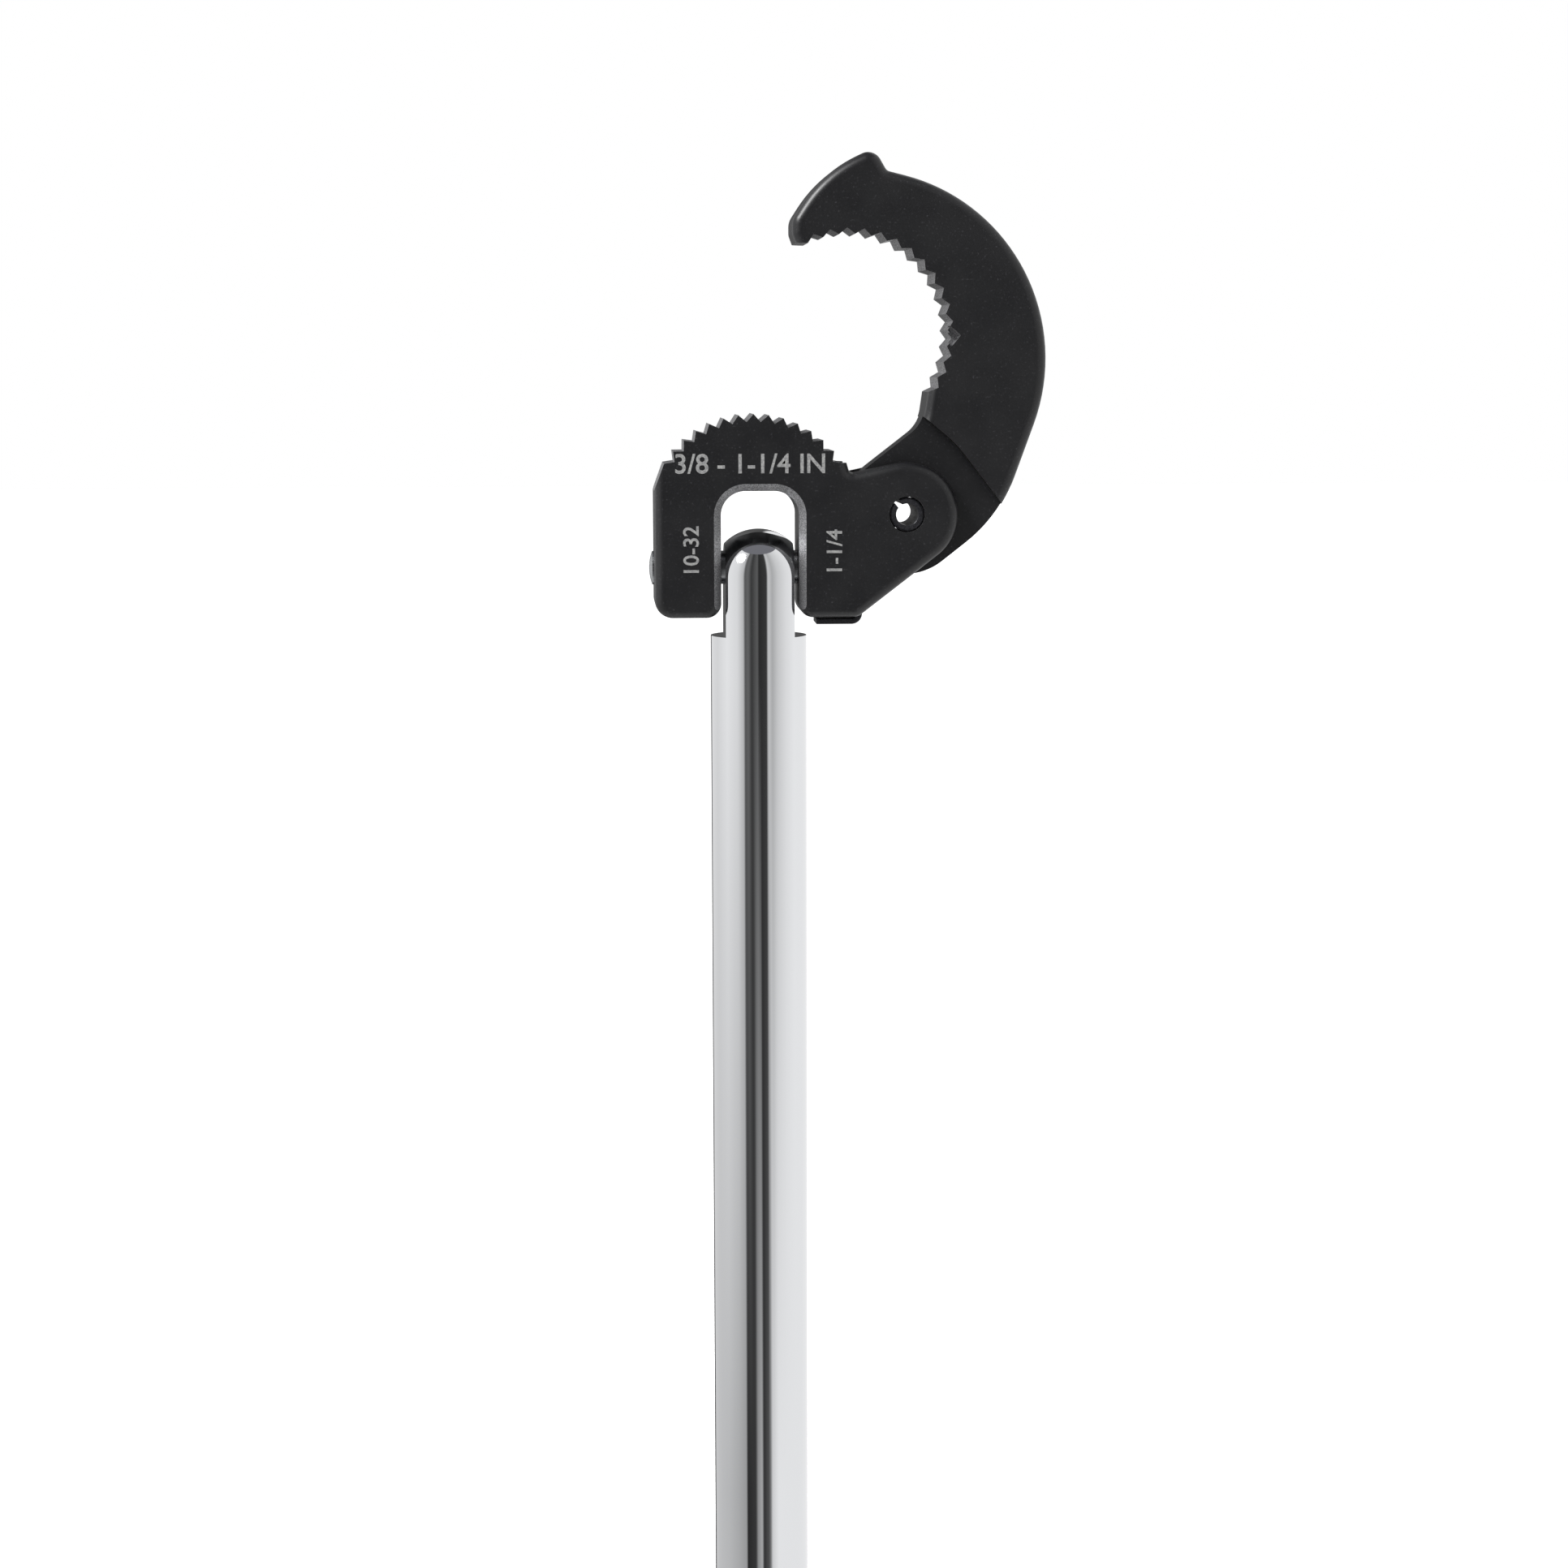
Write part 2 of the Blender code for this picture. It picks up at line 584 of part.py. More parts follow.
# ---------------------------------------------------------------- shaft and collar
def make_shaft(slide):
    """Chromed round shaft, bored from the foot for the bar, with a flat-sided tang on top."""
    dome_z = SWIVEL_Z - DOME_DROP
    chamfer = 0.5 * MM
    rows = 10
    profile = []
    for row in range(rows + 1):
        angle = math.pi / 2 * row / rows
        profile.append((SHAFT_R * math.sin(angle), dome_z + SHAFT_R * math.cos(angle)))
    profile += [
        (SHAFT_R, SHOULDER_Z),
        (SHAFT_R, SHAFT_FOOT_Z + chamfer),
        (SHAFT_R - chamfer, SHAFT_FOOT_Z),
        (BORE_R, SHAFT_FOOT_Z),
        (BORE_R, BORE_TOP_Z),
        (0, BORE_TOP_Z + BORE_R / 2),
    ]
    shaft = add_turned("outer_shaft", [(r, z - COLLAR_Z) for r, z in profile], slide, CHROME)
    shoulder = SHOULDER_Z - COLLAR_Z
    for name, side in (("tang_flat_left", -1), ("tang_flat_right", 1)):
        near, far = sorted((side * TANG_WIDTH / 2, side * SHAFT_D))
        cut(shaft, name, box(name, (near, -SHAFT_D, shoulder), (far, SHAFT_D, shoulder + 2 * SHAFT_D)))
    swivel = SWIVEL_Z - COLLAR_Z
    cut(shaft, "tang_hole", rod("tang_hole", SWIVEL_PIN_D / 2 + PIN_GAP, (-SHAFT_D, 0, swivel),
                                (SHAFT_D, 0, swivel)))
    screw_z = COLLAR_SCREW_Z - COLLAR_Z
    for name, side in (("screw_seat_left", -1), ("screw_seat_right", 1)):
        cut(shaft, name, rod(name, CATCH_SCREW_D / 2 + PIN_GAP, (side * SCREW_SEAT_R, 0, screw_z),
                             (side * SHAFT_D, 0, screw_z), SMALL_SIDES))


def make_collar(slide):
    """Collar pressed on the foot of the shaft; its square throat carries the turning force."""
    chamfer = 1.0 * MM
    seat_r = SHAFT_R + PIN_GAP
    throat = COLLAR_THROAT
    top = COLLAR_THROAT + COLLAR_SEAT
    profile = [
        (seat_r, top),
        (COLLAR_R - chamfer, top),
        (COLLAR_R, top - chamfer),
        (COLLAR_R, chamfer),
        (COLLAR_R - chamfer, 0),
        (0, 0),
        (0, throat),
        (seat_r, throat),
    ]
    collar = add_turned("end_collar", profile, slide, SATIN_STEEL, closed=True)
    half = BAR_ACROSS / 2 + SLIDE_GAP
    cut(collar, "collar_square", box("collar_square", (-half, -half, -throat), (half, half, 2 * throat)))
    hole_r = CATCH_SCREW_D / 2 + PIN_GAP
    catch_z = CATCH_Z - COLLAR_Z
    cut(collar, "catch_hole", rod("catch_hole", hole_r, (0, 0, catch_z), (0, -2 * COLLAR_R, catch_z),
                                  SMALL_SIDES))
    screw_z = COLLAR_SCREW_Z - COLLAR_Z
    cut(collar, "collar_screw_holes", rod("collar_screw_holes", hole_r, (-2 * COLLAR_R, 0, screw_z),
                                          (2 * COLLAR_R, 0, screw_z), SMALL_SIDES))


def set_screw(name, parent, radius, outer, inner, direction, height):
    """A headless screw in a radial hole, with a hexagon socket in its outer end."""
    way = Vector((*toward(direction, 1), 0))
    up = Vector((0, 0, height))
    body = rod(name, radius, way * inner + up, way * outer + up, SMALL_SIDES)
    screw = add_part(name, body, parent, BLACK_SCREW)
    socket_r = radius / 2
    deep = (outer - inner) / 2
    cut(screw, name + "_socket", rod(name + "_socket", socket_r, way * (outer - deep) + up,
                                     way * (outer + deep) + up, 6))


def make_collar_screws(slide):
    """Two screws lock the collar to the shaft."""
    inner = SCREW_SEAT_R + TOUCH_GAP
    outer = COLLAR_R - SCREW_RECESS
    for name, direction in (("collar_screw_left", 180), ("collar_screw_right", 0)):
        set_screw(name, slide, CATCH_SCREW_D / 2, outer, inner, direction, COLLAR_SCREW_Z - COLLAR_Z)


def coil_spring(name, parent, start, end, height):
    """A small compression spring lying along -Y, as one swept wire."""
    points_per_turn = 12
    turn_r = (SPRING_D - SPRING_WIRE_D) / 2
    start += SPRING_WIRE_D / 2
    end -= SPRING_WIRE_D / 2
    count = SPRING_TURNS * points_per_turn + 1
    curve = bpy.data.curves.new(name, 'CURVE')
    curve.dimensions = '3D'
    curve.bevel_depth = SPRING_WIRE_D / 2
    curve.bevel_resolution = 2
    curve.use_fill_caps = True
    spline = curve.splines.new('POLY')
    spline.points.add(count - 1)
    for index, point in enumerate(spline.points):
        angle = 2 * math.pi * index / points_per_turn
        along = start + (end - start) * index / (count - 1)
        point.co = (turn_r * math.cos(angle), -along, turn_r * math.sin(angle), 1)
    spring = bpy.data.objects.new(name, curve)
    spring.parent = parent
    spring.location = (0, 0, height)
    curve.materials.append(SPRING_WIRE)
    PARTS.objects.link(spring)


def ball_catch(prefix, parent, surface, wall, height):
    """Ball, spring and screw in a radial hole at -Y, pressing on a surface inside the wall."""
    ball_r = BALL_D / 2
    ball_at = surface + SLIDE_GAP + ball_r
    ball_mesh = ball(prefix + "_ball", ball_r)
    add_part(prefix + "_ball", ball_mesh, parent, CHROME_BALL, (0, -ball_at, height))
    screw_outer = wall - SCREW_RECESS
    screw_inner = screw_outer - CATCH_SCREW_LENGTH
    set_screw(prefix + "_screw", parent, CATCH_SCREW_D / 2, screw_outer, screw_inner, -90, height)
    coil_spring(prefix + "_spring", parent, ball_at + ball_r + PIN_GAP, screw_inner - PIN_GAP, height)


# ---------------------------------------------------------------- bar and hub
def make_bar(root):
    """Square bar that the shaft slides on, with a dimple for each catch position."""
    half = BAR_ACROSS / 2
    bar = add_part("inner_bar", box("inner_bar", (-half, -half, BAR_FOOT_Z), (half, half, BAR_TOP_Z)),
                   root, ZINC_BAR)
    round_edges(bar, 0.5 * MM, 2)
    dimple_r = BALL_D / 2 + PIN_GAP
    for step in range(math.floor((TRAVEL + TOUCH_GAP) / CATCH_STEP) + 1):
        name = f"dimple_{step}"
        place = (0, -half - dimple_r + CATCH_DIMPLE, CATCH_Z + step * CATCH_STEP)
        cut(bar, name, ball(name, dimple_r), place)
    cut(bar, "bar_pin_hole", rod("bar_pin_hole", HUB_PIN_D / 2 + PIN_GAP, (-BAR_ACROSS, 0, HUB_PIN_Z),
                                 (BAR_ACROSS, 0, HUB_PIN_Z), SMALL_SIDES))
    depth = GUIDE_SCREW_LENGTH + TOUCH_GAP - (GUIDE_HEAD_Z - BAR_TOP_Z)
    cut(bar, "bar_screw_hole", rod("bar_screw_hole", GUIDE_SCREW_D / 2 + PIN_GAP, (0, 0, BAR_TOP_Z - depth),
                                   (0, 0, BAR_TOP_Z + depth), SMALL_SIDES))


def make_bush(root):
    """Bronze cup on the end of the bar: it guides the bar in the bore and stops it pulling out."""
    outer_r = BORE_R - PIN_GAP
    top = BUSH_PLATE_Z + BUSH_PLATE - BUSH_Z
    chamfer = 0.5 * MM
    profile = [(0, top), (outer_r - chamfer, top), (outer_r, top - chamfer), (outer_r, 0), (0, 0)]
    bush = add_turned("guide_bush", profile, root, BRONZE, (0, 0, BUSH_Z))
    half = BAR_ACROSS / 2 + PIN_GAP
    socket = BUSH_PLATE_Z - BUSH_Z
    square = box("bush_square", (-half, -half, -socket), (half, half, socket))
    cut(bush, "bush_square", square, (0, 0, BUSH_Z))
    hole = rod("bush_hole", GUIDE_SCREW_D / 2 + PIN_GAP, (0, 0, 0), (0, 0, 2 * top), SMALL_SIDES)
    cut(bush, "bush_hole", hole, (0, 0, BUSH_Z))


def make_guide_screw(root):
    """Screw that holds the bush on the bar."""
    head_r = GUIDE_HEAD_D / 2
    stem_r = GUIDE_SCREW_D / 2
    chamfer = 0.4 * MM
    profile = [
        (0, GUIDE_HEAD_HIGH),
        (head_r - chamfer, GUIDE_HEAD_HIGH),
        (head_r, GUIDE_HEAD_HIGH - chamfer),
        (head_r, 0),
        (stem_r, 0),
        (stem_r, -GUIDE_SCREW_LENGTH),
        (0, -GUIDE_SCREW_LENGTH),
    ]
    screw = add_turned("guide_screw", profile, root, BLACK_SCREW, (0, 0, GUIDE_HEAD_Z), SMALL_SIDES)
    slot_half = 0.4 * MM
    slot = box("guide_screw_slot", (-head_r * 2, -slot_half, GUIDE_HEAD_HIGH / 2),
               (head_r * 2, slot_half, GUIDE_HEAD_HIGH * 2))
    cut(screw, "guide_screw_slot", slot, (0, 0, GUIDE_HEAD_Z))


def make_hub(root):
    """Round hub at the foot: cross hole for the handle, square socket for the bar."""
    chamfer = 1.2 * MM
    profile = [
        (0, HUB_TOP_Z),
        (HUB_R - chamfer, HUB_TOP_Z),
        (HUB_R, HUB_TOP_Z - chamfer),
        (HUB_R, chamfer),
        (HUB_R - chamfer, 0),
        (0, 0),
    ]
    hub = add_turned("handle_hub", profile, root, SATIN_STEEL)
    cut(hub, "handle_hole", rod("handle_hole", HANDLE_HOLE_R, (-2 * HUB_R, 0, HANDLE_Z),
                                (2 * HUB_R, 0, HANDLE_Z)))
    half = BAR_ACROSS / 2 + PIN_GAP
    cut(hub, "hub_socket", box("hub_socket", (-half, -half, SOCKET_FLOOR_Z),
                               (half, half, 2 * HUB_TOP_Z)))
    cut(hub, "hub_pin_hole", rod("hub_pin_hole", HUB_PIN_D / 2 + PIN_GAP, (-2 * HUB_R, 0, HUB_PIN_Z),
                                 (2 * HUB_R, 0, HUB_PIN_Z), SMALL_SIDES))
    cut(hub, "hub_catch_hole", rod("hub_catch_hole", CATCH_SCREW_D / 2 + PIN_GAP, (0, 0, HANDLE_Z),
                                   (0, -2 * HUB_R, HANDLE_Z), SMALL_SIDES))


def make_hub_pin(root):
    """Dowel that pins the bar into the hub."""
    half = HUB_R - 0.3 * MM
    dowel = rod("hub_pin", HUB_PIN_D / 2, (-half, 0, HUB_PIN_Z), (half, 0, HUB_PIN_Z), SMALL_SIDES)
    add_part("hub_pin", dowel, root, BRIGHT_PIN)


# ---------------------------------------------------------------- cross handle
def make_handle(slide):
    """Round cross handle, grooved for the catch at the middle and near both ends."""
    radius = HANDLE_D / 2
    half = HANDLE_LENGTH / 2
    chamfer = 0.6 * MM
    wide = GROOVE_WIDE / 2
    stop = half - CAP_LENGTH + CAP_END - HUB_R
    profile = [(0, half), (radius - chamfer, half), (radius, half - chamfer)]
    for centre in (stop, 0, -stop):
        profile += [
            (radius, centre + wide),
            (radius - GROOVE_DEEP, centre + wide / 2),
            (radius - GROOVE_DEEP, centre - wide / 2),
            (radius, centre - wide),
        ]
    profile += [(radius, chamfer - half), (radius - chamfer, -half), (0, -half)]
    bar = add_turned("handle_bar", profile, slide, CHROME, sides=SMALL_SIDES + 12)
    bar.rotation_euler = (0, math.pi / 2, 0)


def make_handle_caps(slide):
    """Steel caps on the ends keep the handle from sliding out."""
    outer = HANDLE_D / 2 + CAP_WALL
    bore = HANDLE_D / 2 + PIN_GAP
    depth = CAP_LENGTH - CAP_END
    corner = 2.2 * MM
    profile = [(0, CAP_LENGTH)]
    rows = 4
    for row in range(rows + 1):
        angle = math.pi / 2 * row / rows
        profile.append((outer - corner + corner * math.sin(angle),
                        CAP_LENGTH - corner + corner * math.cos(angle)))
    profile += [(outer, 0.6 * MM), (outer - 0.6 * MM, 0), (bore, 0), (bore, depth), (0, depth)]
    mouth = HANDLE_LENGTH / 2 + TOUCH_GAP - depth
    for name, side in (("handle_cap_left", -1), ("handle_cap_right", 1)):
        cap = add_turned(name, profile, slide, CHROME, (side * mouth, 0, 0), SMALL_SIDES + 12)
        cap.rotation_euler = (0, side * math.pi / 2, 0)


# ---------------------------------------------------------------- build
for old in list(bpy.data.objects):
    bpy.data.objects.remove(old)

PARTS = new_collection("basin_wrench")
CUTTERS = new_collection("cutters")

BLACK_FORGING = material("black_forging", (0.022, 0.021, 0.023), 0.42, 0.6)
CHROME = material("chrome", (0.78, 0.79, 0.80), 0.08)
CHROME_BALL = material("polished_ball", (0.75, 0.75, 0.76), 0.12)
BRIGHT_PIN = material("bright_pin", (0.35, 0.35, 0.36), 0.35)
BLACK_SPRING_STEEL = material("black_spring_steel", (0.03, 0.03, 0.033), 0.38, 0.8)
BLUED_SPRING_STEEL = material("blued_spring_steel", (0.045, 0.045, 0.055), 0.35, 0.9)
SATIN_STEEL = material("satin_steel", (0.55, 0.56, 0.57), 0.3)
ZINC_BAR = material("zinc_bar", (0.6, 0.61, 0.62), 0.28)
SPRING_WIRE = material("spring_wire", (0.5, 0.5, 0.5), 0.3)
BLACK_SCREW = material("black_screw", (0.03, 0.03, 0.03), 0.45, 0.8)
BRONZE = material("bronze", (0.52, 0.33, 0.14), 0.35)

shaft_slide = axis_empty("shaft_slide", (0, 0, COLLAR_Z))
head_swivel = axis_empty("head_swivel", (0, 0, SWIVEL_Z - COLLAR_Z), shaft_slide)
hook_pivot = axis_empty("hook_pivot", (PIVOT[0], 0, PIVOT[1]), head_swivel)
handle_slide = axis_empty("handle_slide", (0, 0, HANDLE_Z))

make_head(head_swivel)
make_swivel_pin(head_swivel)
make_jaw_pin(head_swivel)
make_leaf_spring(head_swivel)
make_hook(hook_pivot)
make_shaft(shaft_slide)
make_collar(shaft_slide)
make_collar_screws(shaft_slide)
ball_catch("lock", shaft_slide, BAR_ACROSS / 2, COLLAR_R, CATCH_Z - COLLAR_Z)
make_bar(None)
make_bush(None)
make_guide_screw(None)
make_hub(None)
make_hub_pin(None)
ball_catch("handle_catch", None, HANDLE_D / 2, HUB_R, HANDLE_Z)
make_handle(handle_slide)
make_handle_caps(handle_slide)
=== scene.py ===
# %% [markdown]
# # A telescoping basin wrench
# A plumber reaches up behind a basin with this tool. A hook jaw bites a nut against a toothed head,
# the head swivels on a long shaft, and a cross handle at the foot turns it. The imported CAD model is
# the fixed frame of this lesson. Each step below makes one piece finer, or gives it its real finish.

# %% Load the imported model
import json
import math

import bmesh
import bpy
from mathutils import Matrix, Vector


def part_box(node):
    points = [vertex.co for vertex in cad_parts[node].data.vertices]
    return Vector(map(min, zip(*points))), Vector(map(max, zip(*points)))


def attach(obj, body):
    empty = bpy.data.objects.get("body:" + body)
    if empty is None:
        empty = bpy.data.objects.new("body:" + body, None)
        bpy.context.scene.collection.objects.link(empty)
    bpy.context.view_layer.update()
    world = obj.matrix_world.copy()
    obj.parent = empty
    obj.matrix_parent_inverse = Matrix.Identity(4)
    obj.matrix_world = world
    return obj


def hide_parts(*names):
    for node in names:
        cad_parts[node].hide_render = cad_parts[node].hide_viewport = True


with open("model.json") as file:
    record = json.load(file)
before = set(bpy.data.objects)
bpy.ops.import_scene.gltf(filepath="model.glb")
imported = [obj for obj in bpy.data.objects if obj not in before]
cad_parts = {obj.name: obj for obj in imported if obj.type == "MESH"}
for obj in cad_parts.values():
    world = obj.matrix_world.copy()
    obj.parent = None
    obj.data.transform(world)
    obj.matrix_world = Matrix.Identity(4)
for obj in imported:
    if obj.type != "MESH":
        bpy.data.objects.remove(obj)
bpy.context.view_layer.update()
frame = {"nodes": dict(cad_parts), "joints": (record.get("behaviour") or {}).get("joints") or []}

# %% [markdown]
# Everything here is in metres, with +Z up the shaft, +X to the hook side and -Y towards the marked
# face. Places come from the frame, so the finer pieces sit exactly where the CAD ones are.

# %% Read the places that the pieces hang on
MM = 0.001
INCH = 25.4 * MM
joints = {joint["name"]: joint for joint in frame["joints"]}
SWIVEL = Vector(joints["head_swivel"]["pos_m"])
PIVOT = Vector(joints["hook_pivot"]["pos_m"])
SHAFT_R = 5 / 16 * INCH
TOUCH_GAP = 0.3 * MM       # between faces that rest on each other
PIN_GAP = 0.15 * MM        # around a pin, a screw or a ball
SLIDE_GAP = 0.2 * MM       # around the bar in its guide
head_low, head_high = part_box("head_body")
HEAD_THICK = head_high.y - head_low.y
hook_low, hook_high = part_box("hook_jaw")
HOOK_THICK = hook_high.y - hook_low.y


def middle_z(node):
    low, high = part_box(node)
    return (low.z + high.z) / 2


print("swivel", SWIVEL, "pivot", PIVOT, "head", round(HEAD_THICK / MM, 2), "mm thick")

# %% [markdown]
# ## Finishes
# Each finish is a small tree of nodes. One helper adds a node with its settings and links, and one
# function turns an sRGB hex colour into the linear numbers that shaders work in. Most surfaces here
# have one pattern of grains or tool lines, which steers colour, roughness and bump together.

# %% Helpers for every finish
def colour(hex_code):
    """An sRGB hex colour as linear RGBA."""
    linear = []
    for place in (1, 3, 5):
        value = int(hex_code[place:place + 2], 16) / 255
        linear.append(value / 12.92 if value <= 0.04045 else ((value + 0.055) / 1.055) ** 2.4)
    return (*linear, 1.0)


def grey(value):
    return (value, value, value, 1.0)


def add(tree, kind, settings=None, links=None):
    """Adds a node: settings are its properties or ramp stops, links its inputs, each a value, an
    output, or another node, which gives its first output."""
    node = tree.nodes.new(kind)
    for name, value in (settings or {}).items():
        if name == "stops":
            elements = node.color_ramp.elements
            while len(elements) < len(value):
                elements.new(0.5)
            for element, (place, shade) in zip(elements, value):
                element.position = place
                element.color = shade
        else:
            setattr(node, name, value)
    for name, value in (links or {}).items():
        if isinstance(value, bpy.types.Node):
            value = value.outputs[0]
        if isinstance(value, bpy.types.NodeSocket):
            tree.links.new(value, node.inputs[name])
        else:
            node.inputs[name].default_value = value
    return node


def finish(name, metallic, roughness, base=None):
    """A material with an empty slate: its tree, its Principled shader and its Object coordinates."""
    material = bpy.data.materials.new(name)
    material.use_nodes = True
    tree = material.node_tree
    shader = tree.nodes["Principled BSDF"]
    shader.inputs["Metallic"].default_value = metallic
    shader.inputs["Roughness"].default_value = roughness
    if base:
        shader.inputs["Base Color"].default_value = colour(base)
    place = add(tree, "ShaderNodeTexCoord").outputs["Object"]
    return material, tree, shader, place


EVEN = (1.0, 1.0, 1.0)


def grains(tree, place, size, detail, stretch=EVEN):
    """Patches of about this size, drawn out into lines along an axis where the stretch is small."""
    drawn = add(tree, "ShaderNodeMapping", links={"Vector": place, "Scale": stretch})
    return add(tree, "ShaderNodeTexNoise", links={"Vector": drawn, "Scale": 1 / size, "Detail": detail})


def steer(tree, shader, pattern, tone=None, rough=None, bump=None):
    """Lets a pattern set the colour and the roughness by stops, and the bump by (strength, depth)."""
    for socket, stops in (("Base Color", tone), ("Roughness", rough)):
        if stops:
            shades = add(tree, "ShaderNodeValToRGB", {"stops": stops}, {"Fac": pattern})
            tree.links.new(shades.outputs["Color"], shader.inputs[socket])
    if bump:
        strength, depth = bump
        relief = add(tree, "ShaderNodeBump", links={"Height": pattern, "Strength": strength,
                                                    "Distance": depth})
        tree.links.new(relief.outputs["Normal"], shader.inputs["Normal"])


print("helpers ready")

# %% [markdown]
# The head and the hook are drop forgings, shot-blasted and then manganese phosphated. That gives a
# near-black satin skin with a fine crystal grain, a slightly cloudy sheen, and specks where the
# coating is thin.

# %% Black phosphated forging
CRYSTAL = 0.35 * MM     # drawn a little coarser than the real 0.05 mm
CLOUD = 7 * MM          # uneven sheen of the dip
COATING_IOR = 1.45


def forging_finish():
    material, tree, shader, place = finish("black_phosphate_forging", 0.0, 0.42)
    shader.inputs["IOR"].default_value = COATING_IOR
    steer(tree, shader, grains(tree, place, CRYSTAL, 3.0), bump=(0.22, 0.03 * MM),
          tone=[(0.0, colour("#0e0e10")), (0.62, colour("#121214")), (0.76, colour("#2e2e31"))])
    steer(tree, shader, grains(tree, place, CLOUD, 2.0), rough=[(0.3, grey(0.33)), (0.7, grey(0.45))])
    return material


FORGING = forging_finish()
print(FORGING.name)

# %% [markdown]
# The teeth, the squared nose, the throat and the rim of the slot are cut after blackening, so they
# show bare steel, with the fine lines of the milling cutter running across the jaw.

# %% Bare milled steel
CUTTER_LINE = 0.16 * MM
ACROSS_JAW = (1.0, 0.12, 1.0)


def milled_finish():
    material, tree, shader, place = finish("bare_milled_steel", 1.0, 0.34)
    steer(tree, shader, grains(tree, place, CUTTER_LINE, 4.0, ACROSS_JAW), bump=(0.5, 0.02 * MM),
          tone=[(0.3, colour("#6f6f70")), (0.5, colour("#98989a")), (0.7, colour("#c2c2c4"))],
          rough=[(0.3, grey(0.5)), (0.7, grey(0.3))])
    return material


MILLED = milled_finish()
print(MILLED.name)

# %% [markdown]
# The shaft is drawn bar, polished lengthways and then plated with nickel and chromium. The plating
# is a mirror, but faint straight lines from the polishing belt stay under it, so a dark reflection
# shows as a bundle of fine upright streaks.

# %% Chromium plate
BELT_LINE = MM / 0.9      # one belt line, about 1.1 mm
BELT_WAVE = MM / 0.26     # slow waves left under the lines, about 4 mm
ALONG_SHAFT = (1.0, 1.0, 0.02)
ALONG_HANDLE = (0.02, 1.0, 1.0)


def chrome_finish(name, stretch):
    material, tree, shader, place = finish(name, 1.0, 0.06, "#dfe0e2")
    belt = grains(tree, place, BELT_LINE, 2.0, stretch)
    wave = grains(tree, place, BELT_WAVE, 1.0, stretch)
    height = add(tree, "ShaderNodeMath", {"operation": "MULTIPLY_ADD"}, {0: belt, 1: 0.25, 2: wave})
    steer(tree, shader, height, bump=(0.16, 0.02 * MM))
    steer(tree, shader, belt, rough=[(0.35, grey(0.02)), (0.7, grey(0.06))])
    return material


CHROME = chrome_finish("polished_chromium_plate", ALONG_SHAFT)
CHROME_BAR = chrome_finish("chromium_plate_along_the_handle", ALONG_HANDLE)
print(CHROME.name, CHROME_BAR.name)

# %% [markdown]
# The small steel parts are turned, drawn or ground. Drawn-out grains give each its tool lines: rings
# around a turned part, and long lines along a drawn one.

# %% Turned, drawn and oxidised small parts
RINGS = (0.03, 0.03, 1.0)
ALONG_X = (0.03, 1.0, 1.0)
ALONG_Y = (1.0, 0.05, 1.0)
ALONG_Z = (1.0, 1.0, 0.03)


def lined_finish(name, base, light, roughness, stretch, line, metallic=1.0, strength=0.4):
    """A metal with tool lines, between a base and a light colour."""
    material, tree, shader, place = finish(name, metallic, roughness)
    steer(tree, shader, grains(tree, place, line, 3.0, stretch), bump=(strength, 0.015 * MM),
          tone=[(0.3, colour(base)), (0.7, colour(light))],
          rough=[(0.3, grey(roughness * 0.8)), (0.7, grey(roughness * 1.25))])
    return material


TURNED = lined_finish("turned_nickel_plated_steel", "#b4b6b8", "#d0d2d4", 0.24, RINGS, 0.25 * MM)
ZINC = lined_finish("bright_zinc_plate", "#b3b7bb", "#cdd1d4", 0.26, ALONG_Z, 0.3 * MM)
DRAWN_PIN = lined_finish("bright_drawn_pin_steel", "#8e9092", "#b2b4b6", 0.3, ALONG_X, 0.15 * MM)
SPRING_STEEL = lined_finish("black_oxide_spring_steel", "#1d1d20", "#2c2c30", 0.32, ALONG_Y, 0.2 * MM,
                            metallic=0.5, strength=0.2)
WIRE = lined_finish("drawn_spring_wire", "#a6a7a8", "#c4c5c6", 0.25, EVEN, 0.2 * MM, strength=0.15)
OXIDE = lined_finish("black_oxide_screw", "#19191a", "#2b2b2c", 0.4, EVEN, 0.2 * MM, metallic=0.4,
                     strength=0.2)
BALL = lined_finish("ground_bearing_steel", "#c9cacb", "#dcdddd", 0.09, EVEN, 0.5 * MM, strength=0.03)
BRONZE = lined_finish("turned_bronze", "#a8804a", "#c79c62", 0.3, RINGS, 0.22 * MM)
ETCH = lined_finish("laser_etched_scale", "#626264", "#868684", 0.6, EVEN, 0.25 * MM, metallic=0.2,
                    strength=0.2)
print(len(bpy.data.materials), "finishes")

# %% [markdown]
# ## Geometry helpers
# The forgings are flat outlines with rounded corners, made thick, rolled over at the edges and then
# cut. The outline is built from corners with radii, so a corner of the real part is one line here.

# %% Outline helpers
ARC_STEP = math.radians(3)


def toward(degrees, distance, centre=(0, 0)):
    """The point at a distance and direction from a centre."""
    angle = math.radians(degrees)
    return (centre[0] + distance * math.cos(angle), centre[1] + distance * math.sin(angle))


def fillet(before, corner, after, radius):
    """Arc points that round one corner."""
    corner = Vector(corner)
    back = (Vector(before) - corner).normalized()
    ahead = (Vector(after) - corner).normalized()
    half = back.angle(ahead) / 2
    centre = corner + (back + ahead).normalized() * radius / math.sin(half)
    start = corner + back * radius / math.tan(half) - centre
    turn = math.pi - 2 * half
    steps = max(1, math.ceil(turn / ARC_STEP))
    if back.cross(ahead) > 0:
        turn = -turn
    return [tuple(centre + Matrix.Rotation(turn * step / steps, 2) @ start)
            for step in range(steps + 1)]


SHORTEST = 0.01 * MM       # outline points closer than this are one


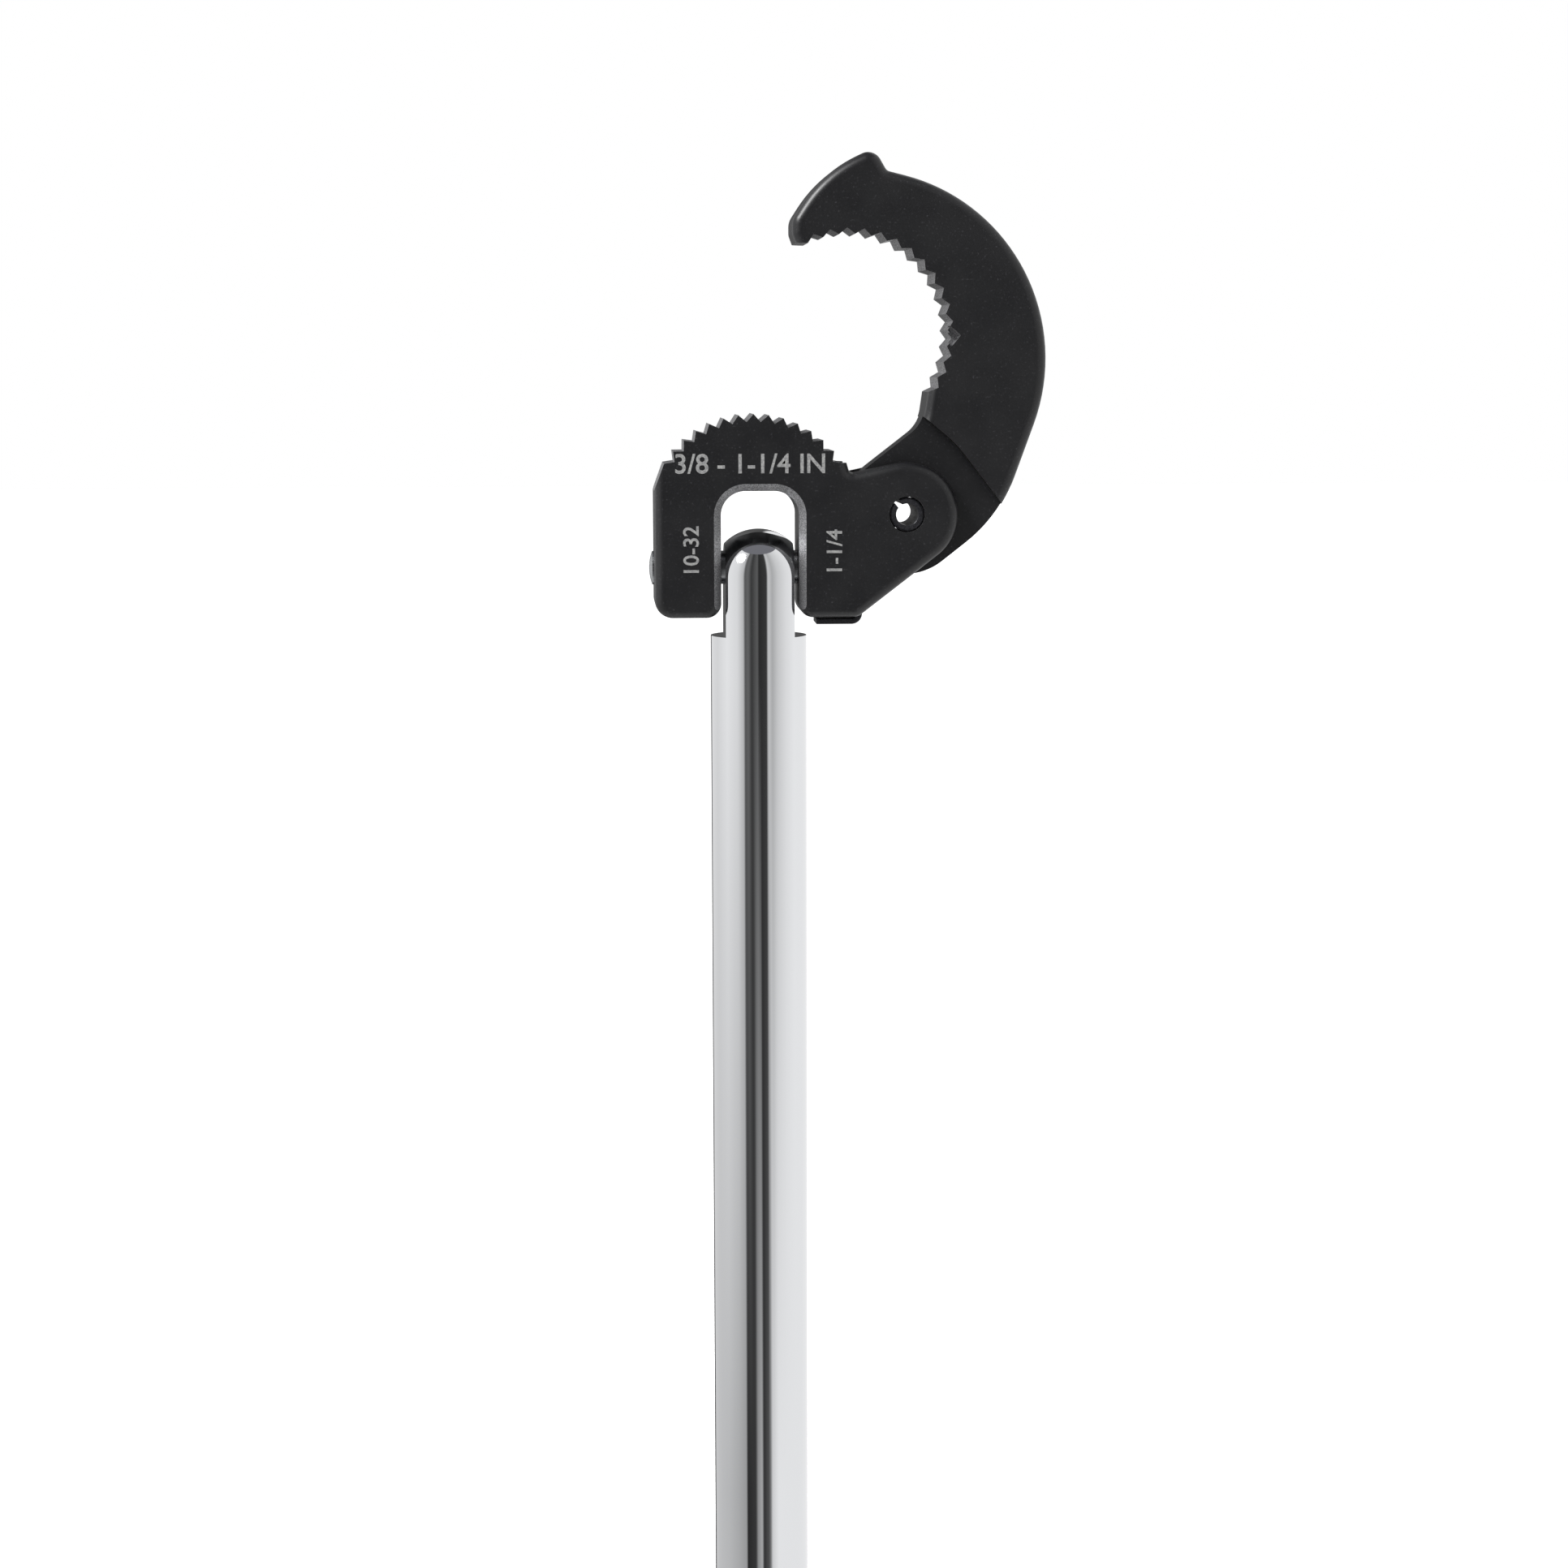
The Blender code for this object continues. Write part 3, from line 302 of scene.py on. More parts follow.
def rounded(corners, closed=True):
    """An outline through corners (x, z, radius)."""
    outline = []
    last = len(corners) - 1
    for index, (x, z, radius) in enumerate(corners):
        if radius == 0 or (not closed and index in (0, last)):
            points = [(x, z)]
        else:
            after = corners[(index + 1) % (last + 1)]
            points = fillet(corners[index - 1][:2], (x, z), after[:2], radius)
        outline += [point for point in points
                    if not outline or math.dist(point, outline[-1]) > SHORTEST]
    if closed and math.dist(outline[0], outline[-1]) < SHORTEST:
        outline.pop()
    return outline


def arc_corners(centre, radius, first, last, count):
    """Corners of the straight-sided outline around an arc."""
    span = (last - first) / count
    reach = radius / math.cos(math.radians(span / 2))
    return [(*toward(first + span * (step + 0.5), reach, centre), radius) for step in range(count)]


def tangent_direction(point, centre, radius):
    """Direction where a line from an outside point meets a circle, on its left-hand side."""
    away = Vector(point) - Vector(centre)
    return math.degrees(math.atan2(away.y, away.x) + math.acos(radius / away.length))


def tangents_meet(first, second):
    """Where two tangent lines cross, each given as (centre, radius, direction)."""
    rows = []
    for centre, radius, degrees in (first, second):
        normal = Vector(toward(degrees, 1))
        rows.append((*normal, normal.dot(Vector(centre)) + radius))
    (a, b, e), (c, d, f) = rows
    scale = a * d - b * c
    return ((e * d - b * f) / scale, (a * f - e * c) / scale)


print("a 90 degree corner becomes", len(fillet((1, 0), (0, 0), (0, 1), 0.1)), "points")

# %% [markdown]
# Solids are made at the origin of the world with their place in the mesh. A cutter is a hidden object
# used by a Boolean modifier. Its own material goes onto the faces that it cuts, which is how a milled
# face ends up bright inside a black forging. `settle` turns the stack of modifiers into a plain mesh.

# %% Solid helpers
SAME_POINT = 0.001 * MM
scene = bpy.context.scene
bench = bpy.data.collections.new("bench")
scene.collection.children.link(bench)


def put(name, mesh, material):
    piece = bpy.data.objects.new(name, mesh)
    mesh.materials.clear()
    mesh.materials.append(material)
    bench.objects.link(piece)
    return piece


def mesh_of(name, bm):
    mesh = bpy.data.meshes.new(name)
    bm.to_mesh(mesh)
    bm.free()
    return mesh


def plate(name, outline, thickness, middle=0.0, place=(0, 0, 0)):
    """A flat outline in XZ made thick to both sides of Y = middle, then moved to its place."""
    bm = bmesh.new()
    front = middle - thickness / 2
    face = bm.faces.new([bm.verts.new((x, front, z)) for x, z in outline])
    back = bmesh.ops.extrude_face_region(bm, geom=[face])["geom"]
    moved = [item for item in back if isinstance(item, bmesh.types.BMVert)]
    bmesh.ops.translate(bm, verts=moved, vec=(0, thickness, 0))
    bmesh.ops.translate(bm, verts=bm.verts, vec=place)
    bmesh.ops.recalc_face_normals(bm, faces=bm.faces)
    return mesh_of(name, bm)


def loft(name, first, first_y, second, second_y, place):
    """A solid between two outlines of as many points, each at its own Y."""
    bm = bmesh.new()
    rings = [[bm.verts.new((x, y, z)) for x, z in outline]
             for outline, y in ((first, first_y), (second, second_y))]
    count = len(first)
    for index in range(count):
        ahead = (index + 1) % count
        bm.faces.new((rings[0][index], rings[0][ahead], rings[1][ahead], rings[1][index]))
    bm.faces.new(rings[0])
    bm.faces.new(rings[1])
    bmesh.ops.translate(bm, verts=bm.verts, vec=place)
    bmesh.ops.recalc_face_normals(bm, faces=bm.faces)
    return mesh_of(name, bm)


def block(name, low, high):
    bm = bmesh.new()
    bmesh.ops.create_cube(bm, size=1.0)
    size = Matrix.Diagonal((*(Vector(high) - Vector(low)), 1))
    middle = Matrix.Translation((Vector(high) + Vector(low)) / 2)
    bmesh.ops.transform(bm, verts=bm.verts, matrix=middle @ size)
    return mesh_of(name, bm)


def turned(name, profile, start=(0, 0, 0), axis=(0, 0, 1), sides=96, ring=False):
    """A turned solid: (radius, height) points down its outside, spun about an axis from a start."""
    bm = bmesh.new()
    turn = Vector((0, 0, 1)).rotation_difference(Vector(axis)).to_matrix().to_4x4()
    place = Matrix.Translation(Vector(start)) @ turn
    rows = []
    for radius, height in profile:
        if radius < SAME_POINT:
            rows.append([bm.verts.new(place @ Vector((0, 0, height)))])
            continue
        angles = [2 * math.pi * side / sides for side in range(sides)]
        rows.append([bm.verts.new(place @ Vector((radius * math.cos(a), radius * math.sin(a), height)))
                     for a in angles])
    pairs = list(zip(rows, rows[1:])) + ([(rows[-1], rows[0])] if ring else [])
    for upper, lower in pairs:
        for side in range(sides if len(upper) + len(lower) > 2 else 0):
            ahead = (side + 1) % sides
            corners = [upper[side % len(upper)], lower[side % len(lower)],
                       lower[ahead % len(lower)], upper[ahead % len(upper)]]
            bm.faces.new(list(dict.fromkeys(corners)))
    bmesh.ops.recalc_face_normals(bm, faces=bm.faces)
    return mesh_of(name, bm)


def turned_part(name, material, profile, *place, **extra):
    return put(name, turned(name, profile, *place, **extra), material)


def rod(name, radius, start, end, sides=96):
    """A plain round rod between two points, mostly used as a drill."""
    along = Vector(end) - Vector(start)
    return turned(name, [(0, along.length), (radius, along.length), (radius, 0), (0, 0)], start,
                  along.normalized(), sides)


def cut(piece, mesh, material=None):
    """Cuts the piece with a mesh; the cut faces take the cutter's material, or the piece's own."""
    cutter = put(mesh.name, mesh, material or piece.data.materials[0])
    cutter.hide_render = True
    boolean = piece.modifiers.new(mesh.name, "BOOLEAN")
    boolean.operation = "DIFFERENCE"
    boolean.solver = "EXACT"
    boolean.material_mode = "TRANSFER"
    boolean.object = cutter


def roll_edges(piece, width, segments=6, angle=40):
    """Rounds every edge sharper than the angle."""
    bevel = piece.modifiers.new("rolled_edges", "BEVEL")
    bevel.width = width
    bevel.segments = segments
    bevel.limit_method = "ANGLE"
    bevel.angle_limit = math.radians(angle)
    bevel.use_clamp_overlap = False


def evaluated_mesh(piece):
    """A plain copy of the mesh that an object has with its modifiers on."""
    bpy.context.view_layer.update()
    return bpy.data.meshes.new_from_object(piece.evaluated_get(bpy.context.evaluated_depsgraph_get()))


def settle(piece, sharp=32):
    """Applies the modifiers by copying the evaluated mesh, cleans it and shades it."""
    used = [modifier.object for modifier in piece.modifiers if modifier.type == "BOOLEAN"]
    mesh = evaluated_mesh(piece)
    piece.modifiers.clear()
    piece.data = mesh
    mesh.name = piece.name
    for cutter in used:
        bpy.data.objects.remove(cutter)
    bm = bmesh.new()
    bm.from_mesh(mesh)
    bmesh.ops.remove_doubles(bm, verts=bm.verts, dist=SAME_POINT)
    bmesh.ops.dissolve_degenerate(bm, edges=bm.edges, dist=SAME_POINT / 2)
    open_edges = sum(1 for edge in bm.edges if len(edge.link_faces) != 2)
    bm.to_mesh(mesh)
    bm.free()
    mesh.shade_smooth()
    mesh.set_sharp_from_angle(angle=math.radians(sharp))
    print(piece.name, len(mesh.polygons), "faces,", open_edges, "open edges")
    return piece


def fit(piece, body, slot, *nodes):
    """Hands a finished piece to its body and hides the CAD nodes that it stands for; the finish slot is
    not used.
    """
    weighted = piece.modifiers.new("even_shading", "WEIGHTED_NORMAL")
    weighted.keep_sharp = True
    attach(piece, body)
    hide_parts(*nodes)


print("solid helpers ready")

# %% [markdown]
# ## Rows of teeth with Geometry Nodes
# Both jaws have V teeth on an arc: tips on one circle and roots on another, at an even pitch. That is
# a rule, so the tree places the points of a zigzag by their index, closes it with two points on a
# third circle, fills it and makes it thick. The head and the hook use the same tree as a cutter.

# %% Helpers for a Geometry Nodes tree
KINDS = {float: "NodeSocketFloat", int: "NodeSocketInt", tuple: "NodeSocketVector"}


def open_tree(name, sizes):
    """A tree with these named sizes and a finish as inputs, what they give, and their identifiers."""
    tree = bpy.data.node_groups.new(name, "GeometryNodeTree")
    kinds = {"Geometry": "NodeSocketGeometry"}
    kinds.update((title, KINDS[type(size)]) for title, size in sizes.items())
    kinds["Finish"] = "NodeSocketMaterial"
    sockets = {}
    for title, kind in kinds.items():
        socket = tree.interface.new_socket(name=title, in_out="INPUT", socket_type=kind)
        if title in sizes:
            socket.default_value = sizes[title]
        sockets[title] = socket.identifier
    tree.interface.new_socket(name="Geometry", in_out="OUTPUT", socket_type="NodeSocketGeometry")
    return tree, add(tree, "NodeGroupInput").outputs, sockets


def close_tree(tree, geometry, material):
    """Ends a tree: its instances are made real, and the finish is set."""
    real = add(tree, "GeometryNodeRealizeInstances", links={"Geometry": geometry})
    painted = add(tree, "GeometryNodeSetMaterial", links={"Geometry": real, "Material": material})
    add(tree, "NodeGroupOutput", links={"Geometry": painted})


def grown(name, tree, sockets, values):
    """Runs a tree on an empty mesh and returns the plain mesh that it makes."""
    seed = bpy.data.objects.new(name, bpy.data.meshes.new(name))
    bench.objects.link(seed)
    modifier = seed.modifiers.new(name, "NODES")
    modifier.node_group = tree
    for key, value in values.items():
        modifier[sockets[key]] = value
    mesh = evaluated_mesh(seed)
    mesh.name = name
    bpy.data.objects.remove(seed)
    bm = bmesh.new()
    bm.from_mesh(mesh)
    bmesh.ops.recalc_face_normals(bm, faces=bm.faces)
    bm.to_mesh(mesh)
    bm.free()
    print(name, "grew", len(mesh.polygons), "faces")
    return mesh


# %% [markdown]
# The rule for the teeth is a list of small sums. Each row names its result, the operation and what
# goes in: an input of the tree, the point's index, or an earlier result. A loop makes the nodes.

# %% Geometry Nodes tree for a toothed cutter
TOOTH_SUMS = [
    # how many points the zigzag has, and whether this one is a tip
    ("both roots", "MULTIPLY_ADD", "Teeth", 2.0, 1.0),
    ("zigzag", "MULTIPLY_ADD", "Ends On Tips", -2.0, "both roots"),
    ("count", "ADD", "zigzag", 2.0),
    ("shifted", "ADD", "index", "Ends On Tips"),
    ("is tip", "MODULO", "shifted", 2.0),
    # its radius: root or tip, or the closing circle for the last two points
    ("swing", "SUBTRACT", "Tip Radius", "Root Radius"),
    ("tooth radius", "MULTIPLY_ADD", "is tip", "swing", "Root Radius"),
    ("zigzag end", "SUBTRACT", "zigzag", 0.5),
    ("is closing", "GREATER_THAN", "index", "zigzag end"),
    ("gap", "SUBTRACT", "Closing Radius", "tooth radius"),
    ("radius", "MULTIPLY_ADD", "is closing", "gap", "tooth radius"),
    # its direction: half a pitch a step, and the closing points stand over the two ends
    ("last step", "SUBTRACT", "zigzag", 1.0),
    ("first closing", "ADD", "zigzag", 0.5),
    ("is last", "GREATER_THAN", "index", "first closing"),
    ("is not last", "SUBTRACT", 1.0, "is last"),
    ("closing step", "MULTIPLY", "last step", "is not last"),
    ("jump", "SUBTRACT", "closing step", "index"),
    ("step", "MULTIPLY_ADD", "is closing", "jump", "index"),
    ("half pitch", "MULTIPLY", "Pitch", 0.5),
    ("swept", "MULTIPLY", "step", "half pitch"),
    ("direction", "SUBTRACT", "First Direction", "swept"),
    ("cosine", "COSINE", "direction"),
    ("sine", "SINE", "direction"),
    ("x", "MULTIPLY", "radius", "cosine"),
    ("y", "MULTIPLY", "radius", "sine"),
    ("half down", "MULTIPLY", "Thickness", -0.5)]
UPRIGHT = (math.pi / 2, 0, 0)


def toothed_cutter_tree():
    tree, given, sockets = open_tree("toothed_cutter", {
        "Tip Radius": 0.0, "Root Radius": 0.0, "Closing Radius": 0.0, "Pitch": 0.0,
        "First Direction": 0.0, "Thickness": 0.0, "Teeth": 15, "Ends On Tips": 0, "Centre": (0, 0, 0)})
    known = {title: given[title] for title in sockets}
    known["index"] = add(tree, "GeometryNodeInputIndex")
    for name, operation, *terms in TOOTH_SUMS:
        known[name] = add(tree, "ShaderNodeMath", {"operation": operation},
                          {slot: known.get(term, term) for slot, term in enumerate(terms)})
    place = add(tree, "ShaderNodeCombineXYZ", links={"X": known["x"], "Y": known["y"]})
    line = add(tree, "GeometryNodeCurvePrimitiveLine")
    points = add(tree, "GeometryNodeResampleCurve", links={"Curve": line, "Count": known["count"]})
    shaped = add(tree, "GeometryNodeSetPosition", links={"Geometry": points, "Position": place})
    ring = add(tree, "GeometryNodeSetSplineCyclic", links={"Geometry": shaped, "Cyclic": True})
    filled = add(tree, "GeometryNodeFillCurve", {"mode": "NGONS"}, {"Curve": ring})
    lifted = add(tree, "GeometryNodeExtrudeMesh", links={
        "Mesh": filled, "Offset Scale": given["Thickness"], "Individual": False})
    base = add(tree, "GeometryNodeFlipFaces", links={"Mesh": filled})
    joined = add(tree, "GeometryNodeJoinGeometry")
    tree.links.new(lifted.outputs["Mesh"], joined.inputs["Geometry"])
    tree.links.new(base.outputs["Mesh"], joined.inputs["Geometry"])
    sealed = add(tree, "GeometryNodeMergeByDistance", links={"Geometry": joined,
                                                             "Distance": SAME_POINT})
    drop = add(tree, "ShaderNodeCombineXYZ", links={"Z": known["half down"]})
    centred = add(tree, "GeometryNodeTransform", links={"Geometry": sealed, "Translation": drop})
    upright = add(tree, "GeometryNodeTransform", links={
        "Geometry": centred, "Translation": given["Centre"], "Rotation": UPRIGHT})
    close_tree(tree, upright, given["Finish"])
    return tree, sockets


TOOTH_TREE, TOOTH_SOCKETS = toothed_cutter_tree()


def toothed_cutter(name, tip_r, root_r, closing_r, pitch, teeth, middle, thickness, centre, on_tips=0):
    first = math.radians(middle + pitch * (teeth - on_tips) / 2)
    return grown(name, TOOTH_TREE, TOOTH_SOCKETS, {
        "Tip Radius": tip_r, "Root Radius": root_r, "Closing Radius": closing_r,
        "Pitch": math.radians(pitch), "First Direction": first, "Thickness": thickness,
        "Teeth": teeth, "Ends On Tips": on_tips, "Centre": tuple(centre), "Finish": MILLED})


# %% [markdown]
# ## The head
# The head is one forging: a fork that drops over the end of the shaft, a crown of teeth, and two ears
# that hold the hook. All its sizes are measured from the swivel pin, and a plate with rolled edges
# gives the soft rim that a forging die leaves.

# %% Head outline
TANG_WIDTH = 11.3 * MM
SLOT_SIDE_GAP = 0.7 * MM
SLOT_HALF = TANG_WIDTH / 2 + SLOT_SIDE_GAP
DOME_DROP = 1.6 * MM          # centre of the rounded tip of the shaft, below the pin
SLOT_HEADROOM = 6.35 * MM
SLOT_TOP = SHAFT_R - DOME_DROP + SLOT_HEADROOM
LEFT_LEG, RIGHT_LEG = 10.9 * MM, 8.85 * MM
LEFT_X = -SLOT_HALF - LEFT_LEG
RIGHT_X = SLOT_HALF + RIGHT_LEG
LEG_DROP = 8.0 * MM
EDGE_ROUND = 1.6 * MM
HEAD_TOOTH_R = 17.3 * MM
HEAD_BRIDGE = 12.5 * MM       # metal between the slot and the tooth tips
CROWN = ((LEFT_X + RIGHT_X) / 2, SLOT_TOP + HEAD_BRIDGE - HEAD_TOOTH_R)
CLEVIS_WEB = 6.2 * MM
CLEVIS_X = SLOT_HALF + CLEVIS_WEB
EAR_R = 8.5 * MM
EAR_FOOT = 0.9 * MM
EAR = (PIVOT.x, PIVOT.z - SWIVEL.z)
SLOT_CORNER = 4.0 * MM


def head_outline():
    blank_r = HEAD_TOOTH_R + EDGE_ROUND
    horn_x, notch_x = RIGHT_X - 1.8 * MM, RIGHT_X - 0.5 * MM
    ear_top = 102
    crown_start, crown_end = 45, 146
    foot = (RIGHT_X + EAR_FOOT, -LEG_DROP)
    ear_start = tangent_direction(foot, EAR, EAR_R)
    notch = tangents_meet((EAR, EAR_R, ear_top), ((notch_x, 0), 0, 0))
    horn = tangents_meet((CROWN, blank_r, crown_start), ((horn_x, 0), 0, 0))
    left_corner = tangents_meet((CROWN, blank_r, crown_end), ((LEFT_X, 0), 0, 180))
    return rounded([
        (LEFT_X, -LEG_DROP, 3.0 * MM), (-SLOT_HALF, -LEG_DROP, 2.4 * MM),
        (-SLOT_HALF, SLOT_TOP, SLOT_CORNER), (SLOT_HALF, SLOT_TOP, SLOT_CORNER),
        (SLOT_HALF, -LEG_DROP, 2.4 * MM), (*foot, 2.2 * MM),
        *arc_corners(EAR, EAR_R, ear_start, ear_top, 3), (*notch, 0.8 * MM), (*horn, 1.7 * MM),
        *arc_corners(CROWN, blank_r, crown_start, crown_end, 3), (*left_corner, 2.0 * MM)])


head = put("forged_head", plate("forged_head", head_outline(), HEAD_THICK, place=SWIVEL), FORGING)
roll_edges(head, EDGE_ROUND)
print("head outline has", len(head_outline()), "points")

# %% [markdown]
# The crown is milled after forging. The toothed cutter takes the middle, and a plain cutter on each
# side leaves the flat shoulders that the teeth run out to.

# %% Mill the crown
HEAD_PITCH = 8.2              # degrees
HEAD_TEETH = 15
TOOTH_ROOT_R = HEAD_TOOTH_R - 1.25 * MM
FAR = 44 * MM
PAST = 1 * MM                 # how far a cutter runs out past the metal
crown = toothed_cutter("crown_teeth", HEAD_TOOTH_R, TOOTH_ROOT_R, FAR, HEAD_PITCH, HEAD_TEETH, 90,
                       HEAD_THICK + 2 * PAST, SWIVEL + Vector((CROWN[0], 0, CROWN[1])), on_tips=1)
cut(head, crown, MILLED)
end_swing = HEAD_PITCH * (HEAD_TEETH - 1) / 2
left_tip = toward(90 + end_swing, HEAD_TOOTH_R, CROWN)
right_tip = toward(90 - end_swing, HEAD_TOOTH_R, CROWN)
STEP_DOWN = 5.2 * MM          # from the last tooth to the left shoulder
left_z = left_tip[1] - STEP_DOWN
left_far = toward(90 + end_swing - 1, FAR - 3 * MM, CROWN)
right_inside = toward(90 - end_swing + 4, HEAD_TOOTH_R + 3 * MM, CROWN)
right_edge = RIGHT_X + 1.3 * MM
left_side = [(LEFT_X - 30 * MM, left_z), (LEFT_X - 0.3 * MM, left_z), left_tip, left_far]
right_side = [right_tip, (right_edge, right_tip[1]), (right_edge, right_tip[1] + 8 * MM), right_inside]
for name, outline in (("crown_left", left_side), ("crown_right", right_side)):
    cut(head, plate(name, outline, HEAD_THICK + 2 * PAST, place=SWIVEL), MILLED)

# %% [markdown]
# The clevis stays black, because it is forged with the head. The pin holes are drilled, and the rim
# of the slot is milled off at a slant on both faces, which leaves a bright band around it.

# %% Cut the clevis, the holes and the slot's rim
TONGUE_THICK = 6.4 * MM
clevis_half = TONGUE_THICK / 2 + TOUCH_GAP
reach = 60 * MM
cut(head, block("clevis", SWIVEL + Vector((CLEVIS_X, -clevis_half, -reach)),
                SWIVEL + Vector((reach, clevis_half, reach))))
PIN_R = 2.75 * MM
HOLE_R = PIN_R + PIN_GAP
across = Vector((0, HEAD_THICK, 0))
cut(head, rod("ear_hole", HOLE_R, PIVOT - across, PIVOT + across), MILLED)
cut(head, rod("fork_hole", HOLE_R, SWIVEL + Vector((LEFT_X - PAST, 0, 0)),
              SWIVEL + Vector((CLEVIS_X + PAST, 0, 0))), MILLED)
SLOT_RIM = 1.35 * MM
RIM_PAST = 0.1 * MM


def slot_outline(grow):
    """The fork slot, grown on every side; its foot runs out below the legs."""
    half, top, low = SLOT_HALF + grow, SLOT_TOP + grow, -LEG_DROP - 3 * MM
    corner = SLOT_CORNER + grow
    return rounded([(-half, low, 0), (-half, top, corner), (half, top, corner), (half, low, 0)])


for name, side in (("slot_chamfer_front", -1), ("slot_chamfer_back", 1)):
    cut(head, loft(name, slot_outline(SLOT_RIM), side * (HEAD_THICK / 2 + RIM_PAST),
                   slot_outline(-RIM_PAST), side * (HEAD_THICK / 2 - SLOT_RIM), SWIVEL), MILLED)
fit(settle(head), "head", "black_forging", "head_body")

# %% [markdown]
# ## The hook
# The hook is a second forging. Its inside arc carries the bite, its nose is squared off, and its tail
# is thinned to a tongue that turns between the ears. Sizes are measured from its own pivot.

# %% Hook outline
BITE = (-9.4 * MM, 29.3 * MM)
BITE_R = 15.96 * MM
BITE_DEPTH = 0.97 * MM
BITE_PITCH = 9.43            # degrees
BITE_TEETH = 15
BITE_MIDDLE = 39.6           # direction of the middle tooth
CAM_R = 9.9 * MM
BACK = (-7.7 * MM, 25.0 * MM)
BACK_R = 30.5 * MM
NOSE_X, NOSE_Z = -18.7 * MM, 43.85 * MM


def hook_outline():
    blank_r = BITE_R - 1.5 * EDGE_ROUND
    heel = (2.73 * MM, 14.6 * MM)
    back_start, back_end = -20, 76
    tail_start = tangent_direction(heel, (0, 0), CAM_R)
    tail_end = 308
    flank = tangents_meet(((0, 0), CAM_R, tail_end), (BACK, BACK_R, back_start))
    notch = tangents_meet((BACK, BACK_R, back_end), ((-3.3 * MM, 0), 0, 0))
    return rounded([
        (*heel, 6.0 * MM), *arc_corners((0, 0), CAM_R, tail_start, tail_end, 3), (*flank, 24.0 * MM),
        *arc_corners(BACK, BACK_R, back_start, back_end, 2), (*notch, 1.2 * MM),
        (-5.4 * MM, 58.95 * MM, 2.3 * MM), (-13.8 * MM, 55.05 * MM, 22.0 * MM),
        (NOSE_X, 47.5 * MM, 3.0 * MM), (NOSE_X, 45.3 * MM, 2.0 * MM), (-17.0 * MM, 40.7 * MM, 1.7 * MM),
        *arc_corners(BITE, blank_r, 115, -26, 3), (3.8 * MM, 22.0 * MM, 2.0 * MM)])


hook = put("forged_hook", plate("forged_hook", hook_outline(), HOOK_THICK, place=PIVOT), FORGING)
roll_edges(hook, EDGE_ROUND)
print("hook outline has", len(hook_outline()), "points")

# %% [markdown]
# The bite is milled with the same tree. One plain cutter squares the nose and another clears the
# throat. Two curved cutters thin the tongue, which stays black, and the mill left a small stray cut
# beside the teeth.

# %% Mill the bite, the nose, the tongue and the pivot hole
place = PIVOT
bite = toothed_cutter("bite_teeth", BITE_R, BITE_R + BITE_DEPTH, 1 * MM, BITE_PITCH, BITE_TEETH,
                      BITE_MIDDLE, HOOK_THICK + 2 * PAST, place + Vector((BITE[0], 0, BITE[1])))
cut(hook, bite, MILLED)
bite_half = BITE_PITCH * BITE_TEETH / 2
first_root, last_root = [toward(BITE_MIDDLE + side * bite_half, BITE_R + BITE_DEPTH, BITE)
                         for side in (1, -1)]
first_inside, last_inside = [toward(BITE_MIDDLE + side * (bite_half - 3), BITE_R - 2 * MM, BITE)
                             for side in (1, -1)]
nose_tip = toward(BITE_MIDDLE + BITE_PITCH * (BITE_TEETH + 1) / 2, BITE_R, BITE)
outside_x = NOSE_X - 3 * MM
nose_cut = [(BITE[0] - 1.5 * MM, BITE[1] + 4 * MM), (outside_x, NOSE_Z - 7 * MM), (outside_x, NOSE_Z),
            nose_tip, first_root, first_inside]
throat_cut = [(BITE[0] + 4 * MM, BITE[1] - 3 * MM), last_inside, last_root,
              (last_root[0] - 2.8 * MM, last_root[1] - 1.2 * MM)]
for name, outline in (("nose_cut", nose_cut), ("throat_cut", throat_cut)):
    cut(hook, plate(name, outline, HOOK_THICK + 2 * PAST, place=place), MILLED)
far = 3 * CAM_R
shoulder = rounded([(-far, -far, 0), (far, -far, 0), (far, -16.5 * MM, 0),
                    (8.1 * MM, 11.45 * MM, 20 * MM), (-25.7 * MM, 39.4 * MM, 0), (-far, 30 * MM, 0)])
depth = HOOK_THICK - TONGUE_THICK / 2
for name, side in (("tongue_front", -1), ("tongue_back", 1)):
    cut(hook, plate(name, shoulder, depth, side * (TONGUE_THICK + depth) / 2, place), FORGING)
cut(hook, rod("hook_hole", HOLE_R, PIVOT - across, PIVOT + across), MILLED)
stray = toward(-1.0, BITE_R + 2.2 * BITE_DEPTH, BITE)
gouge = [stray, (stray[0] - 1.9 * MM, stray[1] + 1.7 * MM), (stray[0] - 1.7 * MM, stray[1] - 2.1 * MM)]
cut(hook, plate("stray_mark", gouge, 6 * MM, -HOOK_THICK / 2, place), MILLED)
fit(settle(hook), "hook", "black_forging", "hook_jaw")

# %% [markdown]
# ## Pins and leaf spring
# The swivel pin is riveted over on the left. The hook turns on a rolled spring pin: a tube with an
# open slit that can be looked through. A bent strip under the right leg presses on the hook's tail.

# %% Swivel pin
DOME = 0.5 * MM
PIN_CHAMFER = 0.3 * MM
sphere_r = (PIN_R ** 2 + DOME ** 2) / (2 * DOME)
reach_angle = math.asin(PIN_R / sphere_r)
DOME_STEPS = 8
cap = []
for row in range(DOME_STEPS + 1):
    angle = reach_angle * row / DOME_STEPS
    cap.append((sphere_r * math.sin(angle), DOME - sphere_r * (1 - math.cos(angle))))
pin_left = LEFT_X - TOUCH_GAP
pin_length = CLEVIS_X - TOUCH_GAP - pin_left
pin_profile = [*cap, (PIN_R, PIN_CHAMFER - pin_length), (PIN_R - PIN_CHAMFER, -pin_length),
               (0, -pin_length)]
swivel_pin = turned_part("riveted_swivel_pin", DRAWN_PIN, pin_profile,
                         SWIVEL + Vector((pin_left, 0, 0)), (-1, 0, 0), 64)
fit(settle(swivel_pin), "head", "bright_pin", "swivel_pin")

